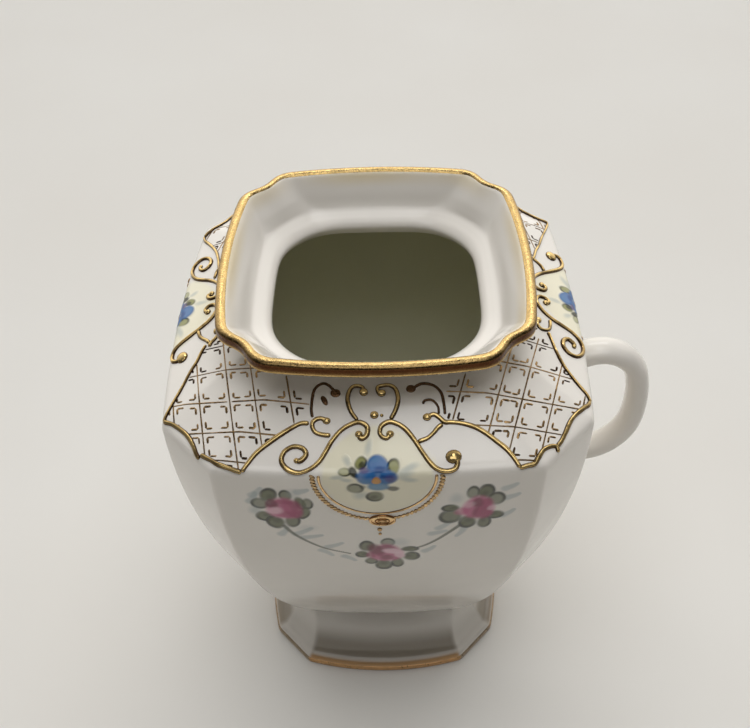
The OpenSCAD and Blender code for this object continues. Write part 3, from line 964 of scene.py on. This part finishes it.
def build_corner(name, k):
    """Arches on the two faces beside a cut corner, and the scallops that join them."""
    build = Build()
    right, left = arches(k)
    for path in SCALLOPS_ODD if k % 2 else SCALLOPS_EVEN:
        # The scallops take a dimmer painted highlight on their crests
        skin_line(build, k + 0.5, path, 0.8, 0.42, GOLD_LIT * 0.7)
    skin_line(build, k, right, 0.6 if k % 2 else 0.82, 0.4)
    skin_line(build, k + 1, left, 0.82 if k % 2 else 0.68, 0.4)
    build.piece(f"corner_outline_{name}", *RAISED, [f"corner_gilding_{name}"])


# Lines of the lattice in plan: across, down, and how far each set leans
LATTICE_EVEN = ([13.8, 20.0, 24.0, 29.1, 34.2], [12.7, 18.7, 24.9, 30.0, 35.0], 0.33, -0.03)
LATTICE_ODD = ([14.0, 19.9, 24.3, 29.6, 34.4], [12.4, 18.4, 24.5, 30.0, 34.8], 0.20, 0.13)
LATTICE_MIDDLE = 24.5
LATTICE_TOP = SLOPE - 0.6
# Width, height and share of gaps of the lattice lines, and width and height of the brackets
LATTICE_LINE = (0.27, 0.05, 0.75)
BRACKET_LINE = (0.38, 0.06)


def lattice_clear(turn, v, k):
    """True where the lattice of corner k may show: outside both arches, above the scallops."""
    quarter = skin.length(v) / 4
    from_left_face = (turn - k) * quarter
    to_right_face = (k + 1 - turn) * quarter
    right, left = arches(k)
    right, left = np.array(right)[::-1], np.array(left)[::-1]
    corner = (turn - k - 0.5) * quarter
    first, second = SCALLOPS_ODD if k % 2 else SCALLOPS_EVEN
    edge = np.array([*first[:6], *second])
    inside = from_left_face > np.interp(v, right[:, 1], right[:, 0], right=10.9) + 0.2
    inside &= to_right_face > -np.interp(v, left[:, 1], left[:, 0], right=-10.6) + 0.2
    return inside & (v > np.interp(corner, edge[:, 0], edge[:, 1], 0.3, 0.3) + 0.1) & (v < LATTICE_TOP)


def drawn(build, k, plan, width, height, skips=0.0):
    """Draws a line of the plan between front and right, turned to corner k, as thin gold with
    painted shade on the faces and a painted reflection of light on the cut corner."""
    plan = np.column_stack(plan)
    plan = turned(plan[:, ::-1] * -1 if k % 2 else plan, k)
    turn, v = skin.from_plan(plan[:, 0], plan[:, 1])
    turn = (turn - k - 0.5 + 2) % 4 - 2 + k + 0.5
    clear = lattice_clear(turn, v, k)
    run = run_along(plan)
    clear &= uneven(run, skips, 1.4) > 0.3
    runs = np.split(np.arange(len(plan)), np.flatnonzero(np.diff(clear.astype(int))) + 1)
    for part in runs:
        if len(part) < 4 or not clear[part[0]]:
            continue
        points, normals = skin.at(turn[part], 0, v[part])
        marks = run_along(points)
        across = np.abs(turn[part] - k - 0.5) * skin.length(v[part]) / 4
        lit = np.mean(smooth_step(9.5, 6.5, across)) * rng.uniform(0.45, 1)
        tone = blend(FLAT_SHADED, FLAT_LIT, lit)
        domed_line(build, points, normals, marks, width * uneven(marks, 0.2), height, 0.08, tone, tone * 0.7)


def lattice_point(p, q, lean_p, lean_q):
    """Plan coordinates where lattice lines p and q cross, between front and right."""
    return p - lean_p * (q - LATTICE_MIDDLE), -(q - lean_q * (p - LATTICE_MIDDLE))


def build_lattice(name, k):
    """Square lattice over a cut corner, with four small brackets round each crossing."""
    build = Build()
    across, down, *lean = LATTICE_ODD if k % 2 else LATTICE_EVEN
    along = np.arange(9, 37, 0.3)
    for p in across:
        drawn(build, k, lattice_point(p, along, *lean), *LATTICE_LINE)
    for q in down:
        drawn(build, k, lattice_point(along, q, *lean), *LATTICE_LINE)
    steps = np.linspace(0, 1, 7)
    for p, q in itertools.product(across, down):
        for i, j in itertools.product((-1, 1), repeat=2):
            x, y = p + i * rng.uniform(0.65, 0.85), q + j * rng.uniform(0.65, 0.85)
            leg = rng.uniform(1.0, 1.35, 2)
            flat = lattice_point(x + i * leg[0] * steps, np.full(7, y), *lean)
            tall = lattice_point(np.full(7, x), y + j * leg[1] * steps, *lean)
            drawn(build, k, flat, *BRACKET_LINE)
            drawn(build, k, tall, *BRACKET_LINE)
    build.piece(f"lattice_{name}", *FLAT)


# ---------------------------------------------------------------- painted enamel
class Canvas:
    """A fine grid over part of a face that strokes of enamel are laid on."""

    def __init__(self, u, v, step=0.16):
        self.u, self.v = np.meshgrid(np.arange(*u, step), np.arange(*v, step))
        cream = cream_amount(self.u, self.v)[..., None]
        self.colour = blend(PORCELAIN, CREAM, cream)
        self.cover = np.zeros(self.u.shape)
        self.lift = np.zeros(self.u.shape)

    def lay(self, amount, colour, lift):
        amount = np.clip(amount, 0, 1)
        self.colour = blend(self.colour, colour, amount[..., None])
        self.cover = 1 - (1 - self.cover) * (1 - amount)
        self.lift = np.maximum(self.lift, lift * np.sqrt(amount))

    def oval(self, at, size, angle):
        """Grid coordinates measured in half axes of an oval."""
        c, s = math.cos(math.radians(angle)), math.sin(math.radians(angle))
        x = (self.u - at[0]) * c + (self.v - at[1]) * s
        y = (self.v - at[1]) * c - (self.u - at[0]) * s
        return x / size[0], y / size[1]

    def dab(self, at, size, angle, colour, opacity, soft, rim=0.0, lift=0.05):
        """One oval stroke. rim darkens its edge."""
        x, y = self.oval(at, size, angle)
        d = np.hypot(x, y) * (1 + 0.05 * np.sin(3 * np.arctan2(y, x) + angle))
        amount = opacity * (1 - smooth_step(1 - soft, 1 + soft * 0.4, d))
        edge = smooth_step(0.45, 0.95, d)[..., None]
        self.lay(amount * (1 - rim * 0.35 * (1 - edge[..., 0])), colour * (1 - rim * edge), lift)

    def edge(self, at, size, angle, colour, opacity, toward):
        """A darker line round the rim of an oval, heaviest where toward points."""
        d = np.hypot(*self.oval(at, size, angle))
        heading = np.arctan2(self.v - at[1], self.u - at[0]) - math.radians(toward)
        ring = smooth_step(0.5, 0.85, d) * (1 - smooth_step(0.9, 1.1, d))
        self.lay(opacity * ring * (0.2 + 0.8 * (0.5 + 0.5 * np.cos(heading))), colour, 0.04)

    def stroke(self, path, width, colour, opacity, lift=0.03):
        """A thin line that fades and narrows towards its end."""
        pts = catmull(path, 14)
        part = np.linspace(0, 1, len(pts))
        near = np.full(self.u.shape, 1e9)
        for p, t in zip(pts, part):
            near = np.minimum(near, np.hypot(self.u - p[0], self.v - p[1]) / (width * (1 - 0.45 * t)))
        self.lay(opacity * (1 - smooth_step(0.35, 1.0, near)), colour, lift)

    def piece(self, name, k):
        """A thin raised skin of enamel wherever the canvas is covered, closed underneath."""
        build = Build()
        on = self.cover > 0.02
        cells = on[:-1, :-1] | on[1:, :-1] | on[:-1, 1:] | on[1:, 1:]
        rows, cols = np.nonzero(cells)
        wide = self.u.shape[1]
        corner = rows * wide + cols
        quads = np.stack([corner, corner + 1, corner + wide + 1, corner + wide], axis=-1)
        used, flat = np.unique(quads, return_inverse=True)
        quads = flat.reshape(-1, 4)
        u, v = self.u.ravel()[used], self.v.ravel()[used]
        points, normals = skin.at(k, u, v)
        rise = np.where(self.cover.ravel()[used] > 0.02, 0.012 + self.lift.ravel()[used], -0.02)
        top = points + normals * rise[:, None]
        under = points - normals * 0.25
        n = len(used)
        edges = np.concatenate([quads[:, [i, (i + 1) % 4]] for i in range(4)])
        key = np.sort(edges, axis=1) @ (n, 1)
        _, where, times = np.unique(key, return_index=True, return_counts=True)
        rim = edges[where[times == 1]]
        walls = np.column_stack([rim[:, 1], rim[:, 0], rim[:, 0] + n, rim[:, 1] + n])
        faces = quads.tolist() + (quads[:, ::-1] + n).tolist() + walls.tolist()
        colours = self.colour.reshape(-1, 3)[used]
        build.add(np.vstack([top, under]), faces, np.vstack([colours, colours]))
        build.piece(name, glaze, "porcelain")


LEAF = srgb(98, 102, 66)
LEAF_DARK = srgb(34, 38, 20)
LEAF_OLIVE = srgb(136, 138, 66)
LEAF_GREY = srgb(160, 174, 176)
BLUE = srgb(28, 104, 172)
BLUE_DEEP = srgb(18, 50, 116)
BLUE_SOFT = srgb(70, 132, 176)
VIOLET = srgb(66, 48, 112)
OCHRE = srgb(206, 146, 58)
PINK = srgb(192, 88, 132)
ROSE = srgb(152, 36, 88)
CRIMSON = srgb(106, 12, 48)
BLUSH = srgb(240, 204, 216)
STEM = srgb(84, 88, 70)


def paint_leaf(canvas, at, size, angle, colour, dark_from, opacity):
    """A wash with a darker pooled edge, heaviest on the side that dark_from points to."""
    canvas.dab(at, (size[0] * 1.35, size[1] * 1.3), angle, LEAF_GREY, 0.2, 0.9, lift=0.01)
    size = (size[0] * 1.08, size[1] * 1.08)
    canvas.dab(at, size, angle, colour, opacity, 0.35, lift=0.03)
    canvas.edge(at, size, angle, LEAF_DARK, 1.0, dark_from)


# Pale strokes behind the flower as x, y, half width, half height and angle
FLOWER_VEIL = [
    (-4.8, 2.5, 0.9, 0.5, 115), (-1.4, 4.7, 1.3, 0.5, 80), (4.2, 0.2, 1.4, 0.8, 10),
    (-5.0, -0.9, 0.9, 0.4, -10), (-2.9, -4.9, 1.1, 0.9, 30), (5.2, 1.4, 1.3, 0.5, 20),
    (-6.4, -0.3, 1.0, 0.4, 5), (5.0, -1.0, 1.2, 0.5, -10),
]
# Its leaves, with colour, side of the darker rim and opacity as well
FLOWER_LEAVES = [
    (-5.2, 0.7, 1.0, 0.7, 0, LEAF_OLIVE, 300, 0.6), (-2.6, 2.2, 1.1, 0.9, 60, LEAF_OLIVE, 330, 0.9),
    (2.5, 1.5, 1.35, 1.0, 75, LEAF_OLIVE, 150, 0.85), (-3.6, -3.0, 1.3, 1.2, -20, LEAF, 60, 0.7),
    (-0.5, -5.2, 1.4, 1.3, 15, LEAF, 220, 0.85),
]
# Its dark strokes and petals, with colour, opacity and softness, and some with dark rim and lift
FLOWER_STROKES = [
    (-0.7, -5.4, 0.9, 0.7, 20, LEAF_DARK, 0.5, 0.8), (2.4, -3.1, 1.15, 0.7, -10, LEAF_DARK, 0.8, 0.4),
    (-3.8, 0.6, 1.2, 0.7, -65, LEAF_DARK, 0.95, 0.35), (-2.4, 1.9, 0.7, 0.6, 40, LEAF_DARK, 0.85, 0.5),
    (-2.4, -2.6, 0.6, 0.6, 30, LEAF_DARK, 0.6, 0.6), (1.7, 1.0, 0.6, 0.5, 60, LEAF_DARK, 0.85, 0.5),
    (0, -0.4, 2.6, 1.9, 0, BLUE, 0.85, 0.4), (0.1, -2.3, 1.9, 1.4, 0, BLUE_SOFT, 0.92, 0.35, 0.15, 0.07),
    (-1.8, -0.3, 1.75, 1.6, 10, BLUE, 0.9, 0.3, 0.2, 0.09),
    (-1.9, -1.2, 1.3, 0.7, 10, BLUE_SOFT, 0.5, 0.8, 0, 0.09),
    (1.7, -0.4, 1.6, 1.6, -15, BLUE, 0.9, 0.3, 0.25, 0.09),
    (2.0, -0.6, 1.1, 1.0, -30, VIOLET, 0.75, 0.6, 0, 0.09),
    (-2.0, 1.0, 1.1, 0.6, 10, VIOLET, 0.8, 0.5, 0, 0.09),
    (0, 2.0, 1.85, 1.6, 0, BLUE, 0.97, 0.25, 0.2, 0.12),
    (-0.3, 2.7, 1.1, 0.6, 0, BLUE_SOFT, 0.35, 0.8, 0, 0.1),
    (0.4, 1.1, 1.1, 0.6, 0, BLUE_DEEP, 0.6, 0.6, 0, 0.1),
    (0.9, -0.2, 0.5, 0.4, 0, BLUE_DEEP, 0.6, 0.5, 0, 0.1),
    (-0.2, -1.0, 0.8, 0.85, 0, OCHRE, 0.97, 0.25, 0.2, 0.16),
]


def paint_forget_me_not(canvas):
    for x, y, rx, ry, angle in FLOWER_VEIL:
        canvas.dab((x, y), (rx * 1.3, ry * 1.3), angle, LEAF_GREY, 0.5, 0.8, lift=0.01)
    for x, y, rx, ry, *leaf in FLOWER_LEAVES:
        paint_leaf(canvas, (x, y), (rx, ry), *leaf)
    for x, y, rx, ry, *stroke in FLOWER_STROKES:
        canvas.dab((x, y), (rx, ry), *stroke)


# Leaves as x, y, half width, half height, angle, and strength, round the middle of each rose
LEFT_LEAVES = [
    (-2.3, 4.1, 1.3, 1.9, -20, 1.0), (0.8, 4.2, 1.0, 1.4, 0, 0.8), (2.3, 4.7, 1.1, 1.2, 0, 0.2),
    (3.3, 1.8, 0.8, 1.8, 10, 1.0), (4.6, 1.7, 0.9, 1.5, 0, 0.6), (3.8, -1.4, 0.9, 1.9, -20, 0.9),
    (-4.2, 1.3, 1.4, 1.5, 0, 0.55), (-5.3, -1.1, 1.1, 1.2, 0, 0.3), (-3.7, -3.0, 1.5, 1.5, 0, 0.9),
    (-1.9, -5.0, 1.5, 2.0, 10, 1.0), (1.4, -4.3, 1.2, 2.0, -10, 0.85), (3.9, -6.9, 1.7, 1.1, 10, 0.15),
]
RIGHT_LEAVES = [
    (-1.0, 4.9, 1.0, 1.7, 0, 0.55), (1.4, 5.0, 1.3, 1.9, 0, 1.0), (3.4, 2.5, 1.4, 1.8, 0, 0.6),
    (3.6, -2.9, 1.4, 1.2, 0, 1.0), (1.7, -5.2, 1.1, 1.9, 0, 0.9), (-1.5, -4.8, 1.4, 2.0, 0, 1.0),
    (-4.8, -2.6, 1.8, 2.1, 0, 0.8), (-4.9, 0.3, 1.4, 1.0, 0, 1.0), (-4.0, 3.3, 1.1, 1.4, 0, 0.25),
]
LOW_LEAVES = [
    (-3.5, 2.9, 1.3, 2.0, 0, 0.9), (-4.5, -0.8, 1.2, 1.3, 0, 1.0), (-2.8, -4.0, 1.1, 1.4, 0, 0.8),
    (-0.3, -5.9, 1.5, 2.4, 0, 0.9), (2.5, -5.0, 1.1, 2.1, 0, 0.85), (5.3, -2.0, 1.4, 1.8, 0, 1.0),
    (4.9, 1.4, 1.5, 1.0, 0, 1.0), (0.6, 4.5, 1.2, 1.5, 0, 0.4), (2.9, 4.4, 1.8, 1.5, 0, 0.2),
]


def paint_rose(canvas, at, leaves, petals):
    """Soft pink petals ringed by thin grey-green leaves."""
    for x, y, rx, ry, angle, strength in leaves:
        spot = (at[0] + x * 0.9, at[1] + y * 0.9)
        if strength < 0.4:
            canvas.dab(spot, (rx * 1.2, ry * 1.2), angle, LEAF_GREY, strength * 1.6, 0.8, lift=0.01)
            continue
        outward = math.degrees(math.atan2(y, x))
        size = (rx * 1.02, ry * 0.98)
        paint_leaf(canvas, spot, size, angle, LEAF, outward + rng.uniform(-70, 70), 0.45 + 0.5 * strength)
        if strength > 0.85:
            vein = (spot[0] - 0.12 * x, spot[1] - 0.12 * y)
            canvas.dab(vein, (rx * 0.6, ry * 0.5), angle, LEAF_DARK, 0.4, 0.8)
    for x, y, rx, ry, angle, colour, opacity, soft in petals:
        canvas.dab((at[0] + x, at[1] + y), (rx, ry * 1.18), angle, colour, opacity, soft * 0.8, lift=0.06)


LEFT_PETALS = [
    (0.1, -0.2, 3.1, 2.8, 0, PINK, 0.92, 0.35), (1.6, 0, 1.8, 2.7, 10, ROSE, 0.7, 0.5),
    (1.2, -1.6, 2.2, 1.2, 0, ROSE, 0.45, 0.8), (-1.8, 1.3, 1.2, 1.2, 0, CRIMSON, 0.85, 0.5),
    (0.3, 1.9, 2.2, 0.7, 0, ROSE, 0.5, 0.8), (-1.5, -0.8, 1.7, 1.0, 15, BLUSH, 0.7, 0.7),
    (0.6, 0.2, 0.9, 1.3, 20, PINK, 0.5, 0.8), (2.4, 1.2, 0.7, 1.0, 0, CRIMSON, 0.25, 0.9),
]
RIGHT_PETALS = [
    (0.2, -0.1, 2.9, 3.0, 0, PINK, 0.92, 0.35), (1.0, -1.4, 1.9, 2.2, 0, ROSE, 0.75, 0.5),
    (-2.4, -0.9, 1.5, 1.1, 20, PINK, 0.6, 0.6), (0.1, 1.5, 1.1, 1.3, 0, CRIMSON, 0.75, 0.6),
    (1.6, 1.6, 1.1, 1.0, 0, ROSE, 0.6, 0.6), (-0.2, -1.2, 0.5, 1.6, -10, CRIMSON, 0.3, 0.9),
    (2.4, -0.4, 0.8, 0.7, 0, BLUSH, 0.6, 0.8), (-1.4, 1.0, 1.2, 0.9, 30, BLUSH, 0.45, 0.8),
]
LOW_PETALS = [
    (0.2, -0.3, 3.2, 3.2, 0, PINK, 0.9, 0.35), (-1.6, 1.2, 1.5, 2.2, 20, CRIMSON, 0.8, 0.5),
    (-2.6, -1.0, 1.0, 1.4, 0, ROSE, 0.6, 0.6), (1.4, 0.6, 2.2, 1.0, -20, BLUSH, 0.85, 0.5),
    (2.6, -1.0, 1.0, 1.3, 20, BLUSH, 0.8, 0.5), (0.3, -2.0, 1.3, 1.0, 0, CRIMSON, 0.65, 0.6),
    (0.2, 2.2, 1.7, 0.8, 0, CRIMSON, 0.55, 0.7), (-0.9, -0.9, 0.8, 0.8, 0, ROSE, 0.6, 0.8),
]


# Pale feathery sprays of leaf as the start and end of each stroke
SPRAYS = [
    (-20.6, -5.6, -19.0, -3.6), (-21.2, -7.4, -20.0, -4.9), (-13.0, -4.2, -11.4, -3.6),
    (-14.4, -17.4, -11.6, -15.2), (-13.2, -18.6, -10.0, -17.6), (-17.0, -17.6, -15.8, -15.2),
    (-9.2, -22.0, -6.6, -20.4), (-10.4, -23.4, -8.6, -25.4), (-6.4, -25.8, -4.6, -27.6),
    (10.2, -15.6, 12.2, -13.2), (9.0, -17.4, 11.4, -16.6), (14.6, -15.6, 13.4, -18.6),
    (8.0, -24.0, 9.6, -22.2), (20.6, -4.6, 22.4, -3.6), (20.8, -12.6, 22.6, -11.0),
    (21.2, -7.2, 23.0, -6.4),
]
STEMS = [
    [(-16.2, -14.6), (-14.9, -17.2), (-12.6, -20), (-9.6, -22.6), (-5.4, -24.6)],
    [(14.2, -14.2), (12.2, -16.9), (9.7, -20), (7.3, -22.1), (5.2, -22.8)],
]


def paint_garland(canvas, with_low_rose):
    for x0, y0, x1, y1 in SPRAYS:
        middle = ((x0 + x1) / 2 + 0.2, (y0 + y1) / 2)
        canvas.stroke([(x0, y0), middle, (x1, y1)], 1.1, LEAF_GREY, 0.55, 0.015)
    for path in STEMS:
        canvas.stroke(path, 0.6, STEM, 0.85)
    paint_rose(canvas, (-15.8, -9.0), LEFT_LEAVES, LEFT_PETALS)
    paint_rose(canvas, (16.3, -9.5), RIGHT_LEAVES, RIGHT_PETALS)
    if with_low_rose:
        paint_rose(canvas, (0.9, -24.2), LOW_LEAVES, LOW_PETALS)


def build_painting(name, k):
    flower = Canvas((-9, 9), (-7.5, 7.5))
    paint_forget_me_not(flower)
    flower.piece(f"forget_me_not_{name}", ornament_turn(k))
    garland = Canvas((-24, 25), (-32, -3), 0.18)
    paint_garland(garland, k != HANDLE_FACE)
    garland.piece(f"rose_garland_{name}", k)


def build_face(name, k):
    """All that lies on one face, but for the lines and lattice of its corners."""
    build_ornament(f"scrolls_{name}", k, SCROLL_LINES, SCROLL_DROPS, RAISED, [f"scroll_gilding_{name}"])
    build_ornament(f"heart_{name}", k, HEART_LINES, HEART_DROPS, RAISED, [f"heart_gilding_{name}"])
    build_arc(name, k)
    build_ornament(f"upper_scrolls_{name}", k, UPPER_LINES, UPPER_DROPS, FLAT, **UPPER_TONE)
    if k != HANDLE_FACE:
        build_rope(name, k)
        build_medallion(name, k)
    build_painting(name, k)


# ---------------------------------------------------------------- stage
# Places and sizes of lamps and floor, and the camera's distance, are metres
FLOOR_REACH = 4.0
LAMP_AIM = Vector((0, 0, 0.06))


def build_floor():
    mesh = bpy.data.meshes.new("floor")
    corners = [(x * FLOOR_REACH, y * FLOOR_REACH, 0) for x, y in ((-1, -1), (1, -1), (1, 1), (-1, 1))]
    mesh.from_pydata(corners, [], [(0, 1, 2, 3)])
    mesh.materials.append(floor_material())
    floor = add_object("floor", mesh)
    floor.location.z = cad_box[0].z


def add_area(name, at, size, power, mirrored=True, lights=True):
    """A rectangular lamp. mirrored lets surfaces reflect it and lights lets it light them."""
    light = bpy.data.lights.new(name, "AREA")
    light.shape = "RECTANGLE"
    light.size, light.size_y = size
    light.energy = power
    lamp = add_object(name, light)
    lamp.location = at
    lamp.rotation_mode = "QUATERNION"
    lamp.visible_glossy = mirrored
    lamp.visible_diffuse = lights
    lamp.rotation_quaternion = (LAMP_AIM - Vector(at)).to_track_quat("-Z", "Y")


def build_world():
    """A soft studio dome: bright low down behind the jug, dimmer overhead and in front."""
    world = bpy.data.worlds.new("studio")
    world.use_nodes = True
    bpy.context.scene.world = world
    tree = world.node_tree
    axes = new_node(tree, "SeparateXYZ", Vector=place(tree, "Generated"))
    behind = ranged(tree, axes.outputs["Y"], 0.1, 0.85, DOME_FRONT, DOME_BACK)
    overhead = ranged(tree, axes.outputs["Z"], 0.6, 0.95, 1.0, DOME_TOP)
    both = tree.nodes.new("ShaderNodeMath")
    both.operation = "MULTIPLY"
    fill(both.inputs[0], behind)
    fill(both.inputs[1], overhead)
    feed(tree.nodes["Background"], Strength=both.outputs[0], Color=(1.0, 0.97, 0.92, 1))


DOME_FRONT, DOME_BACK, DOME_TOP = 0.04, 1.28, 0.4
FRONT_WINDOW = (0.0, -0.55, 1.15)
CAMERA_AZIMUTH = 1.35
CAMERA_ELEVATION = 46.98
CAMERA_DISTANCE = 0.1644
CAMERA_ROLL = -1.86
CAMERA_LENS = 39.28


def build_camera():
    """Camera close above the front edge, aimed a little below the shoulder crease."""
    data = bpy.data.cameras.new("camera")
    data.lens = CAMERA_LENS
    data.sensor_width = 36
    data.clip_start = 0.01
    camera = add_object("camera", data)
    a, e = math.radians(CAMERA_AZIMUTH), math.radians(CAMERA_ELEVATION)
    back = Vector((math.sin(a) * math.cos(e), -math.cos(a) * math.cos(e), math.sin(e)))
    aim = Vector((-0.68, -0.02, CREASE_Z - 14.25)) * MM
    roll = Matrix.Rotation(math.radians(CAMERA_ROLL), 4, "Z")
    facing = (-back).to_track_quat("-Z", "Y").to_matrix().to_4x4()
    camera.matrix_world = Matrix.Translation(aim + back * CAMERA_DISTANCE) @ facing @ roll
    bpy.context.scene.camera = camera


bpy.context.scene.view_settings.view_transform = "Standard"
build_camera()
build_world()
build_floor()
add_area("key", (0.0, 0.03, 1.5), (1.5, 1.3), 13.9, mirrored=False)
add_area("skylight", (0.12, 0.02, 1.5), (0.6, 0.36), 1.3)
add_area("front_window", FRONT_WINDOW, (1.0, 0.55), 2.1, lights=False)
add_area("window", (0.12, 0.95, 1.25), (0.9, 0.22), 2.6)
add_area("side_window", (-1.2, 0.1, 1.1), (0.2, 0.9), 0.12)
add_area("far_window", (1.2, 0.5, 1.0), (0.2, 0.7), 0.4)

build_bowl()
build_mouth()
build_foot()
build_handle()
build_lip_gold()
build_foot_gold()
for face_name, face in FACES.items():
    build_face(face_name, face)
for corner_name, corner in CORNERS.items():
    build_corner(corner_name, corner)
    build_lattice(corner_name, corner)
